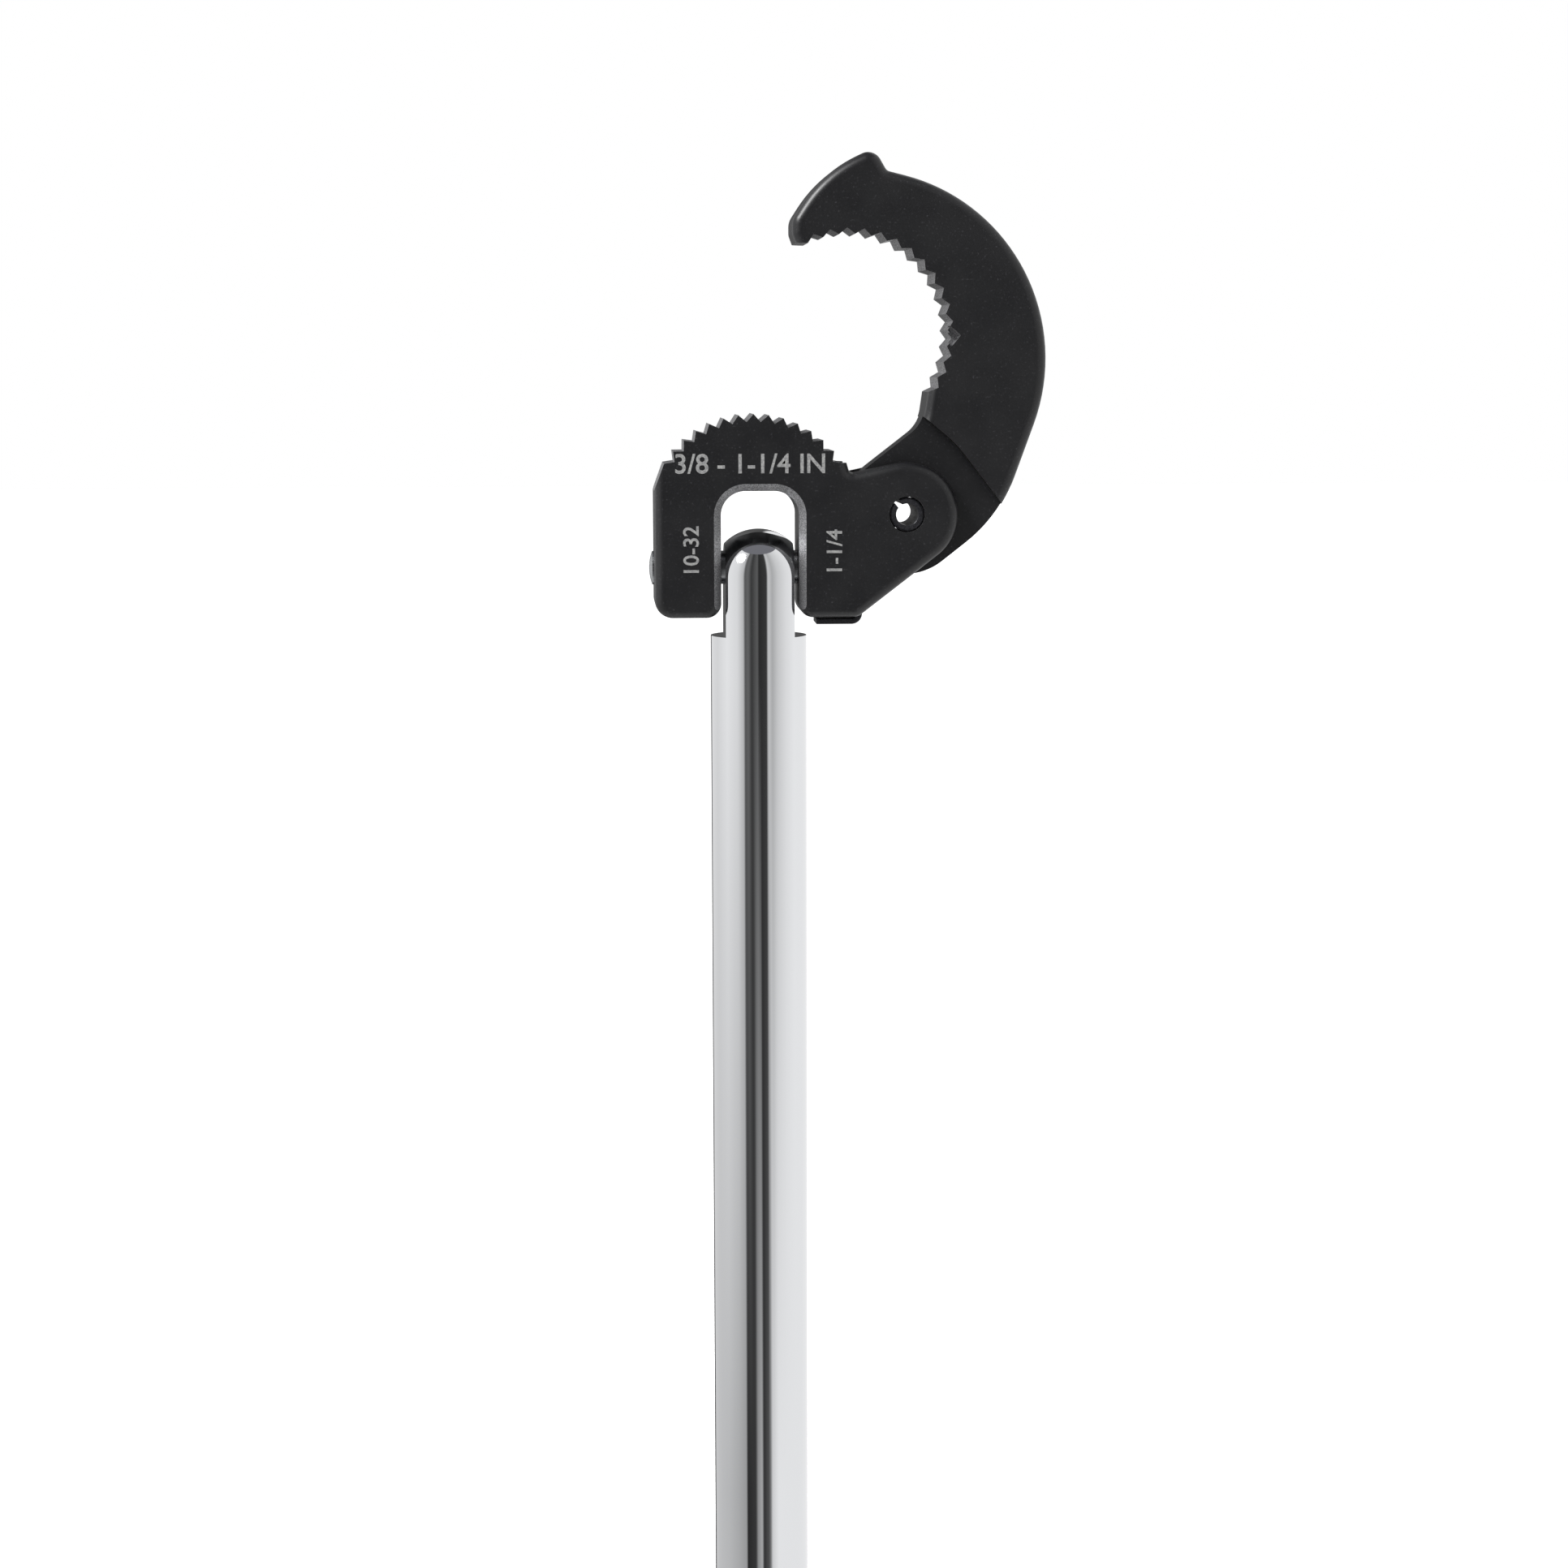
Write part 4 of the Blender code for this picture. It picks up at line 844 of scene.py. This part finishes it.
# %% Slotted spring pin
PIN_RECESS = 0.15 * MM
PIN_WALL = 0.95 * MM
SLIT_HALF = 0.45 * MM
SLIT_TURN = -128             # degrees
BORE_EDGE = 0.1 * MM
half = HEAD_THICK / 2 - PIN_RECESS
bore = PIN_R - PIN_WALL
tube = [(PIN_R - PIN_CHAMFER, half), (PIN_R, half - PIN_CHAMFER), (PIN_R, PIN_CHAMFER - half),
        (PIN_R - PIN_CHAMFER, -half), (bore + BORE_EDGE, -half), (bore, BORE_EDGE - half),
        (bore, half - BORE_EDGE), (bore + BORE_EDGE, half)]
jaw_pin = turned_part("slotted_spring_pin", SPRING_STEEL, tube, PIVOT, (0, -1, 0), ring=True)
slit = block("pin_slit", (0, -2 * half, -SLIT_HALF), (2 * PIN_R, 2 * half, SLIT_HALF))
slit.transform(Matrix.Translation(PIVOT) @ Matrix.Rotation(math.radians(SLIT_TURN), 4, "Y"))
cut(jaw_pin, slit)
fit(settle(jaw_pin), "head", "black_spring_steel", "jaw_pin")

# %% Leaf spring
LEAF_THICK = 0.9 * MM
LEAF_GAP = 0.4 * MM
leaf_x = CLEVIS_X + LEAF_GAP + LEAF_THICK / 2
foot_z = -LEG_DROP - LEAF_GAP - LEAF_THICK / 2
bend = [(SLOT_HALF + 3.0 * MM, foot_z, 0), (RIGHT_X + 1.6 * MM, foot_z, 1.3 * MM),
        (leaf_x, EAR[1] - 1.2 * MM, 6.0 * MM), (leaf_x, EAR[1] + 2.2 * MM, 0)]
bm = bmesh.new()
row = [bm.verts.new(SWIVEL + Vector((x, -TONGUE_THICK / 2, z))) for x, z in rounded(bend, closed=False)]
edges = [bm.edges.new(pair) for pair in zip(row, row[1:])]
swept = bmesh.ops.extrude_edge_only(bm, edges=edges)["geom"]
bmesh.ops.translate(bm, verts=[v for v in swept if isinstance(v, bmesh.types.BMVert)],
                    vec=(0, TONGUE_THICK, 0))
leaf = put("bent_leaf_spring", mesh_of("bent_leaf_spring", bm), SPRING_STEEL)
strip = leaf.modifiers.new("strip", "SOLIDIFY")
strip.thickness = LEAF_THICK
strip.offset = 0
strip.use_even_offset = True
roll_edges(leaf, 0.15 * MM, 2)
fit(settle(leaf), "head", "black_spring_steel", "leaf_spring")

# %% [markdown]
# ## The chromed shaft
# The shaft is turned and bored, then two flats are milled for the tang, so its rounded tip runs out
# in a curved edge on each side and a flat shoulder shows below the fork.

# %% Shaft
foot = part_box("outer_shaft")[0].z
bar_low, bar_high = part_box("inner_bar")
bar_half = (bar_high.x - bar_low.x) / 2
BORE_R = bar_half * math.sqrt(2) + TOUCH_GAP
SHOULDER_GAP = 1.0 * MM       # left under the legs when the head swings over
SHAFT_SOLID = 33.9 * MM       # from the end of the bore to the shoulders
SHAFT_CHAMFER = 0.5 * MM
DOME_ROWS = 24
dome_z = SWIVEL.z - DOME_DROP
shoulder_z = SWIVEL.z - math.hypot(LEG_DROP, HEAD_THICK / 2) - SHOULDER_GAP
bore_top = shoulder_z - SHAFT_SOLID
profile = []
for row in range(DOME_ROWS + 1):
    angle = math.pi / 2 * row / DOME_ROWS
    profile.append((SHAFT_R * math.sin(angle), dome_z + SHAFT_R * math.cos(angle)))
profile += [(SHAFT_R, shoulder_z), (SHAFT_R, foot + SHAFT_CHAMFER), (SHAFT_R - SHAFT_CHAMFER, foot),
            (BORE_R, foot), (BORE_R, bore_top), (0, bore_top + BORE_R / 2)]
shaft = turned_part("chromed_shaft", CHROME, profile, sides=160)
for name, side in (("flat_left", -1), ("flat_right", 1)):
    near, wide = sorted((side * TANG_WIDTH / 2, side * 3 * SHAFT_R))
    cut(shaft, block(name, (near, -3 * SHAFT_R, shoulder_z),
                     (wide, 3 * SHAFT_R, shoulder_z + 5 * SHAFT_R)))
aside = Vector((20 * MM, 0, 0))
cut(shaft, rod("tang_hole", HOLE_R, SWIVEL - aside, SWIVEL + aside))
SEAT_WALL = 1.2 * MM          # shaft wall left under a collar screw
SMALL_HOLE_R = 1.5 * MM + PIN_GAP
screw_z = middle_z("collar_screw_left")
for name, side in (("seat_left", -1), ("seat_right", 1)):
    cut(shaft, rod(name, SMALL_HOLE_R, (side * (BORE_R + SEAT_WALL), 0, screw_z),
                   (side * 3 * SHAFT_R, 0, screw_z), 48))
fit(settle(shaft, 25), "shaft", "chrome_plate", "outer_shaft")

# %% [markdown]
# ## Collar, bar and hub
# The lower half is plain machine work. The collar's square throat makes the shaft turn with the bar,
# and the hub holds both the bar and the cross handle. Both have turned chamfers, and the hub also has
# a shallow groove.

# %% Collar
collar_low, collar_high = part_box("end_collar")
COLLAR_R = collar_high.x
throat_z = foot - TOUCH_GAP
seat_r = SHAFT_R + PIN_GAP
top, low = collar_high.z, collar_low.z
collar_profile = [
    (seat_r + 0.2 * MM, top), (COLLAR_R - 1.0 * MM, top), (COLLAR_R - 0.3 * MM, top - 0.3 * MM),
    (COLLAR_R, top - 1.0 * MM), (COLLAR_R, low + 1.0 * MM), (COLLAR_R - 0.3 * MM, low + 0.3 * MM),
    (COLLAR_R - 1.0 * MM, low), (0, low), (0, throat_z), (seat_r, throat_z), (seat_r, top - 0.2 * MM)]
collar = turned_part("end_collar_turned", TURNED, collar_profile, ring=True)
square = bar_half + SLIDE_GAP
cut(collar, block("collar_square", (-square, -square, low - 5 * MM),
                  (square, square, throat_z + 5 * MM)))
catch_z = middle_z("lock_ball")
cut(collar, rod("catch_hole", SMALL_HOLE_R, (0, 0, catch_z), (0, -2 * COLLAR_R, catch_z), 48))
cut(collar, rod("screw_holes", SMALL_HOLE_R, (-2 * COLLAR_R, 0, screw_z),
                (2 * COLLAR_R, 0, screw_z), 48))
fit(settle(collar), "shaft", "satin_steel", "end_collar")

# %% Hub
hub_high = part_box("handle_hub")[1]
HUB_R, HUB_TOP = hub_high.x, hub_high.z
handle_low, handle_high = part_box("handle_bar")
HANDLE_R = (handle_high.z - handle_low.z) / 2
HANDLE_Z = middle_z("handle_bar")
hub_profile = [
    (0, HUB_TOP), (HUB_R - 1.2 * MM, HUB_TOP), (HUB_R - 0.35 * MM, HUB_TOP - 0.35 * MM),
    (HUB_R, HUB_TOP - 1.2 * MM), (HUB_R, HUB_TOP - 2.2 * MM), (HUB_R - 0.3 * MM, HUB_TOP - 2.4 * MM),
    (HUB_R - 0.3 * MM, HUB_TOP - 2.8 * MM), (HUB_R, HUB_TOP - 3.0 * MM), (HUB_R, 1.2 * MM),
    (HUB_R - 0.35 * MM, 0.35 * MM), (HUB_R - 1.2 * MM, 0), (0, 0)]
hub = turned_part("turned_hub", TURNED, hub_profile)
cut(hub, rod("handle_hole", HANDLE_R + PIN_GAP, (-2 * HUB_R, 0, HANDLE_Z),
             (2 * HUB_R, 0, HANDLE_Z)))
socket = bar_half + PIN_GAP
cut(hub, block("hub_socket", (-socket, -socket, bar_low.z - TOUCH_GAP), (socket, socket, 2 * HUB_TOP)))
pin_z = middle_z("hub_pin")
cut(hub, rod("hub_pin_hole", SMALL_HOLE_R, (-2 * HUB_R, 0, pin_z), (2 * HUB_R, 0, pin_z), 48))
cut(hub, rod("hub_catch_hole", SMALL_HOLE_R, (0, 0, HANDLE_Z), (0, -2 * HUB_R, HANDLE_Z), 48))
fit(settle(hub), "hub_and_bar", "satin_steel", "handle_hub")

# %% [markdown]
# The bar's dimples are an even row, one inch apart, so a tree places one ball at each catch position
# and the bar is cut with the row. Instances are made real at the end, as a cutter has to be a mesh.

# %% Bar with its row of dimples
def dimple_tree():
    tree, given, sockets = open_tree("dimple_row", {"Radius": 0.001, "Count": 6, "Start": (0, 0, 0),
                                                    "Step": (0, 0, 0)})
    line = add(tree, "GeometryNodeMeshLine", links={"Count": given["Count"], "Offset": given["Step"],
                                                    "Start Location": given["Start"]})
    ball = add(tree, "GeometryNodeMeshUVSphere", links={"Segments": 32, "Rings": 16,
                                                        "Radius": given["Radius"]})
    placed = add(tree, "GeometryNodeInstanceOnPoints", links={"Points": line, "Instance": ball})
    close_tree(tree, placed, given["Finish"])
    return tree, sockets


DIMPLE_TREE, DIMPLE_SOCKETS = dimple_tree()
DIMPLE_DEPTH = 0.6 * MM
ball_low, ball_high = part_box("lock_ball")
dimple_r = (ball_high.z - ball_low.z) / 2 + PIN_GAP
travel = joints["shaft_slide"]["range_m"][1]
positions = round(travel / INCH) + 1
bar = put("square_bar", block("square_bar", bar_low, bar_high), ZINC)
roll_edges(bar, 0.5 * MM, 4)
cut(bar, grown("dimples", DIMPLE_TREE, DIMPLE_SOCKETS, {
    "Radius": dimple_r, "Count": positions, "Start": (0, DIMPLE_DEPTH - bar_half - dimple_r, catch_z),
    "Step": (0, 0, INCH), "Finish": ZINC}))
cut(bar, rod("bar_pin_hole", SMALL_HOLE_R, (-2 * HUB_R, 0, pin_z), (2 * HUB_R, 0, pin_z), 48))
screw_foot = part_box("guide_screw")[0].z - TOUCH_GAP
cut(bar, rod("bar_screw_hole", SMALL_HOLE_R, (0, 0, screw_foot), (0, 0, bar_high.z + 5 * MM), 48))
fit(settle(bar), "hub_and_bar", "zinc_plate", "inner_bar")

# %% [markdown]
# ## Cross handle
# The handle is a plated bar with three catch grooves and a cap pressed on at each end.

# %% Handle bar
GROOVE_HALF, GROOVE_DEEP, GROOVE_STEPS = 0.8 * MM, 0.4 * MM, 4
half_length = handle_high.x
cap_low, cap_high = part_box("handle_cap_right")
stop = cap_low.x - HUB_R
edge = 0.6 * MM
handle_profile = [(0, half_length), (HANDLE_R - edge, half_length), (HANDLE_R, half_length - edge)]
for centre in (stop, 0, -stop):
    for step in range(2 * GROOVE_STEPS + 1):
        share = 1 - step / GROOVE_STEPS
        depth = GROOVE_DEEP * math.cos(math.pi / 2 * share)
        handle_profile.append((HANDLE_R - depth, centre + GROOVE_HALF * share))
handle_profile += [(HANDLE_R, edge - half_length), (HANDLE_R - edge, -half_length), (0, -half_length)]
handle = turned_part("cross_handle_bar", CHROME_BAR, handle_profile, (0, 0, HANDLE_Z), (1, 0, 0), 64)
fit(settle(handle), "cross_handle", "chrome_plate", "handle_bar")

# %% Handle caps
cap_length = cap_high.x - cap_low.x
cap_r = (cap_high.z - cap_low.z) / 2
cap_bore = HANDLE_R + PIN_GAP
cap_depth = half_length + TOUCH_GAP - cap_low.x
corner = 2.2 * MM
CORNER_STEPS = 8
cap_profile = [(0, cap_length)]
for step in range(CORNER_STEPS + 1):
    angle = math.pi / 2 * step / CORNER_STEPS
    cap_profile.append((cap_r - corner + corner * math.sin(angle),
                        cap_length - corner + corner * math.cos(angle)))
cap_profile += [(cap_r, 1.9 * MM), (cap_r - 0.3 * MM, 1.7 * MM), (cap_r - 0.3 * MM, 1.3 * MM),
                (cap_r, 1.1 * MM), (cap_r, 0.6 * MM), (cap_r - 0.6 * MM, 0), (cap_bore, 0),
                (cap_bore, cap_depth), (0, cap_depth)]
for side, node in ((-1, "handle_cap_left"), (1, "handle_cap_right")):
    start = (side * cap_low.x, 0, HANDLE_Z)
    piece = turned_part(node + "_turned", CHROME_BAR, cap_profile, start, (side, 0, 0), 64)
    fit(settle(piece), "cross_handle", "chrome_plate", node)

# %% [markdown]
# ## Coil springs with Geometry Nodes
# A coil follows a rule too: a helix with a round wire swept along it, and closed ends. One tree makes
# both catch springs, laid along -Y.

# %% Springs
def coil_tree():
    tree, given, sockets = open_tree("coil", {"Turns": 1.0, "Coil Radius": 1.0, "Wire Radius": 1.0,
                                              "Length": 1.0, "Start": (0, 0, 0)})
    helix = add(tree, "GeometryNodeCurveSpiral", links={
        "Resolution": 24, "Rotations": given["Turns"], "Start Radius": given["Coil Radius"],
        "End Radius": given["Coil Radius"], "Height": given["Length"]})
    wire = add(tree, "GeometryNodeCurvePrimitiveCircle", links={"Resolution": 12,
                                                                "Radius": given["Wire Radius"]})
    swept = add(tree, "GeometryNodeCurveToMesh", links={"Curve": helix, "Profile Curve": wire,
                                                        "Fill Caps": True})
    laid = add(tree, "GeometryNodeTransform", links={
        "Geometry": swept, "Translation": given["Start"], "Rotation": UPRIGHT})
    close_tree(tree, laid, given["Finish"])
    return tree, sockets


COIL_TREE, COIL_SOCKETS = coil_tree()
WIRE_R = 0.175 * MM
for node, body in (("lock_spring", "shaft"), ("handle_catch_spring", "hub_and_bar")):
    coil_low, coil_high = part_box(node)
    coil_r = (coil_high.x - coil_low.x) / 2 - WIRE_R
    mesh = grown(node + "_coil", COIL_TREE, COIL_SOCKETS, {
        "Turns": 3.0, "Coil Radius": coil_r, "Wire Radius": WIRE_R,
        "Length": coil_high.y - coil_low.y - 2 * WIRE_R,
        "Start": (0, coil_high.y - WIRE_R, middle_z(node)), "Finish": WIRE})
    coil = put(node + "_coil", mesh, WIRE)
    fit(settle(coil, 60), body, "spring_wire", node)

# %% [markdown]
# ## Pieces that stay as the CAD has them
# The dowel, the balls, the screws and the bush are already right. They only need their real finish.

# %% Finish the small CAD pieces
for node, material in (("hub_pin", DRAWN_PIN), ("guide_bush", BRONZE), ("guide_screw", OXIDE),
                       ("handle_catch_ball", BALL), ("handle_catch_screw", OXIDE),
                       ("lock_ball", BALL), ("lock_screw", OXIDE), ("collar_screw_left", OXIDE),
                       ("collar_screw_right", OXIDE)):
    for slot in frame["nodes"][node].material_slots:
        slot.material = material
print("kept", len([n for n in frame["nodes"].values() if not n.hide_render]), "CAD nodes")

# %% [markdown]
# ## Size marks
# The nut sizes are burned into the black skin by laser: a pale, flat, slightly rough line. Each mark is
# text made into a mesh that stands a hair above the face.

# %% Laser marks
MARK_RISE = 0.03 * MM
STROKE = 0.012           # thickens the letters, as a share of their height


def mark(name, words, low, high, turn=0):
    """Text that fills a box on the marked face, given from the swivel pin as (x, z) corners."""
    curve = bpy.data.curves.new(name, "FONT")
    curve.body = words
    curve.extrude = MARK_RISE
    curve.offset = STROKE
    curve.resolution_u = 4
    flat = bpy.data.objects.new(name, curve)
    bench.objects.link(flat)
    mesh = evaluated_mesh(flat)
    bpy.data.objects.remove(flat)
    mesh.transform(Matrix.Rotation(math.radians(turn), 4, "Z"))
    xs = [v.co.x for v in mesh.vertices]
    ys = [v.co.y for v in mesh.vertices]
    wide, tall = max(xs) - min(xs), max(ys) - min(ys)
    scale = min((high[0] - low[0]) / wide, (high[1] - low[1]) / tall)
    middle = Vector(((max(xs) + min(xs)) / 2, (max(ys) + min(ys)) / 2, 0))
    centre = SWIVEL + Vector(((low[0] + high[0]) / 2, head_low.y, (low[1] + high[1]) / 2))
    mesh.transform(Matrix.Translation(centre) @ Matrix.Rotation(math.pi / 2, 4, "X")
                   @ Matrix.Diagonal((scale, scale, 1, 1)) @ Matrix.Translation(-middle))
    piece = put(name, mesh, ETCH)
    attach(piece, "head")
    print(name, "is", round(1000 * wide * scale, 1), "mm wide")


mark("mark_inches", "3/8 - 1-1/4 IN", (-13.8 * MM, 15.4 * MM), (10.6 * MM, 19.0 * MM))
mark("mark_millimetres", "10-32", (-12.6 * MM, -1.2 * MM), (-10.0 * MM, 7.8 * MM), 90)
mark("mark_largest", "1-1/4", (10.8 * MM, -1.2 * MM), (13.4 * MM, 7.3 * MM), 90)

# %% [markdown]
# ## Studio
# The tool stands in a white room: a pale floor, a white sky and one soft light, high on the left.
# The sky is dimmer overhead for reflections. The floor is left out of them, as it would show in the
# chrome as a hard line.

# %% Floor and sky
FLOOR_CLOUD = 1 / 3      # metres
floor_material, tree, shader, place = finish("pale_floor", 0.0, 0.9)
steer(tree, shader, grains(tree, place, FLOOR_CLOUD, 1.0), tone=[(0.2, grey(0.9)), (0.8, grey(0.93))])
shader.inputs["Specular IOR Level"].default_value = 0.0
shader.inputs["Emission Color"].default_value = grey(1.0)
shader.inputs["Emission Strength"].default_value = 0.35
floor = put("floor", block("floor", (-6, -6, -0.011), (6, 6, -0.001)), floor_material)
floor.visible_glossy = False

OVERHEAD = (0.2, 0.2, 0.22, 1.0)
world = bpy.data.worlds.new("white_room")
scene.world = world
world.use_nodes = True
sky = world.node_tree
height = add(sky, "ShaderNodeSeparateXYZ",
             links={"Vector": add(sky, "ShaderNodeTexCoord").outputs["Generated"]}).outputs["Z"]
above = add(sky, "ShaderNodeValToRGB", {
    "stops": [(0.0, grey(1.0)), (0.35, grey(0.9)), (0.65, OVERHEAD), (1.0, OVERHEAD)]}, {"Fac": height})
ray = add(sky, "ShaderNodeLightPath")
seen = add(sky, "ShaderNodeMix", {"data_type": "RGBA"},
           {0: ray.outputs["Is Glossy Ray"], 6: grey(1.0), 7: above})
sky.links.new(seen.outputs[2], sky.nodes["Background"].inputs["Color"])
print("floor top at", round(floor.bound_box[1][2] / MM, 2), "mm")

# %% [markdown]
# Chrome shows what is around it. A round wall that only reflections see has a dark screen in front
# of the tool and a narrower one behind it, with pale panels between them. Its brightness is given
# around the compass, in degrees from the front and positive to the right, at two heights.

# %% Surround for the reflections
ROOM_R = 0.8
WALL_TOP, WALL_FOOT, WALL_THICK = 1.5, -1.0, 0.01
HIGH_Z, LOW_Z = 0.12, -0.24
HIGH = [(-180, 0.1), (-161, 0.16), (-156, 0.9), (-120, 0.86), (-85, 1.02), (-55, 0.9), (-40, 0.62),
        (-36, 0.12), (-28, 0.16), (-20, 0.05), (-6, 0.13), (-2, 0.03), (16, 0.05), (20, 0.72),
        (30, 0.52), (44, 0.74), (66, 0.92), (90, 1.04), (168, 1.0), (172, 0.08), (180, 0.1)]
LOW = [(-180, 0.08), (-160, 0.12), (-154, 0.7), (-90, 0.62), (-60, 0.52), (-40, 0.42), (-37, 0.03),
       (-16, 0.05), (-11, 0.34), (-1, 0.5), (3, 0.04), (16, 0.1), (21, 0.28), (25, 0.8), (40, 1.02),
       (166, 1.0), (171, 0.06), (180, 0.08)]
room_material = bpy.data.materials.new("studio_surround")
room_material.use_nodes = True
tree = room_material.node_tree
tree.nodes.clear()
parts = add(tree, "ShaderNodeSeparateXYZ",
            links={"Vector": add(tree, "ShaderNodeTexCoord").outputs["Object"]}).outputs
ahead = add(tree, "ShaderNodeMath", {"operation": "MULTIPLY"}, {0: parts["Y"], 1: -1.0})
bearing = add(tree, "ShaderNodeMath", {"operation": "ARCTAN2"}, {0: parts["X"], 1: ahead})
around = add(tree, "ShaderNodeMapRange", links={"Value": bearing, "From Min": -math.pi,
                                                "From Max": math.pi})
tones = []
for panels in (HIGH, LOW):
    stops = [((degrees + 180) / 360, grey(value)) for degrees, value in panels]
    tones.append(add(tree, "ShaderNodeValToRGB", {"stops": stops}, {"Fac": around}))
drop = add(tree, "ShaderNodeMapRange", links={"Value": parts["Z"], "From Min": HIGH_Z,
                                              "From Max": LOW_Z})
tone = add(tree, "ShaderNodeMix", {"data_type": "RGBA"},
           {0: drop, 6: tones[0], 7: tones[1]})
glow = add(tree, "ShaderNodeEmission", links={"Color": tone.outputs[2], "Strength": 1.0})
add(tree, "ShaderNodeOutputMaterial", links={"Surface": glow.outputs["Emission"]})
wall = [(ROOM_R, WALL_TOP), (ROOM_R, WALL_FOOT), (ROOM_R + WALL_THICK, WALL_FOOT),
        (ROOM_R + WALL_THICK, WALL_TOP)]
room = turned_part("studio_surround", room_material, wall, ring=True)
for kind in ("camera", "diffuse", "shadow", "transmission", "volume_scatter"):
    setattr(room, "visible_" + kind, False)
print("surround", 2 * ROOM_R, "m across")

# %% [markdown]
# One round soft box, high on the left and in front, gives the black skin its sheen.

# %% Light
KEY_PLACE, KEY_TARGET = Vector((-0.6, -0.36, 0.85)), Vector((0, 0, 0.23))
key = bpy.data.lights.new("key_light", "AREA")
key.shape = "DISK"
key.size = 0.34
key.energy = 13.0
lamp = bpy.data.objects.new("key_light", key)
lamp.location = KEY_PLACE
lamp.rotation_euler = (KEY_TARGET - KEY_PLACE).to_track_quat("-Z", "Y").to_euler()
scene.collection.objects.link(lamp)
print("key light", round((KEY_TARGET - KEY_PLACE).length, 2), "m away")

# %% [markdown]
# The camera looks slightly down from the left, close enough for some perspective.

# %% Camera
CAMERA_PLACE = Vector((-0.02764, -0.5091, 0.2472))
CAMERA_TARGET = Vector((0.00417, 0.0, 0.1783))
CAMERA_ROLL = 0.0023
lens = bpy.data.cameras.new("camera")
lens.sensor_width = 36.0
lens.lens = 70.8
lens.clip_start = 0.01
camera = bpy.data.objects.new("camera", lens)
aim = (CAMERA_TARGET - CAMERA_PLACE).to_track_quat("-Z", "Y").to_matrix().to_4x4()
camera.matrix_world = Matrix.Translation(CAMERA_PLACE) @ aim @ Matrix.Rotation(-CAMERA_ROLL, 4, "Z")
scene.collection.objects.link(camera)
scene.camera = camera
scene.view_settings.view_transform = "Standard"
print("camera", round((CAMERA_TARGET - CAMERA_PLACE).length, 3), "m from the tool")

# %% [markdown]
# The last cell brings the scene up to date.

# %% Bring the scene up to date
bpy.context.view_layer.update()
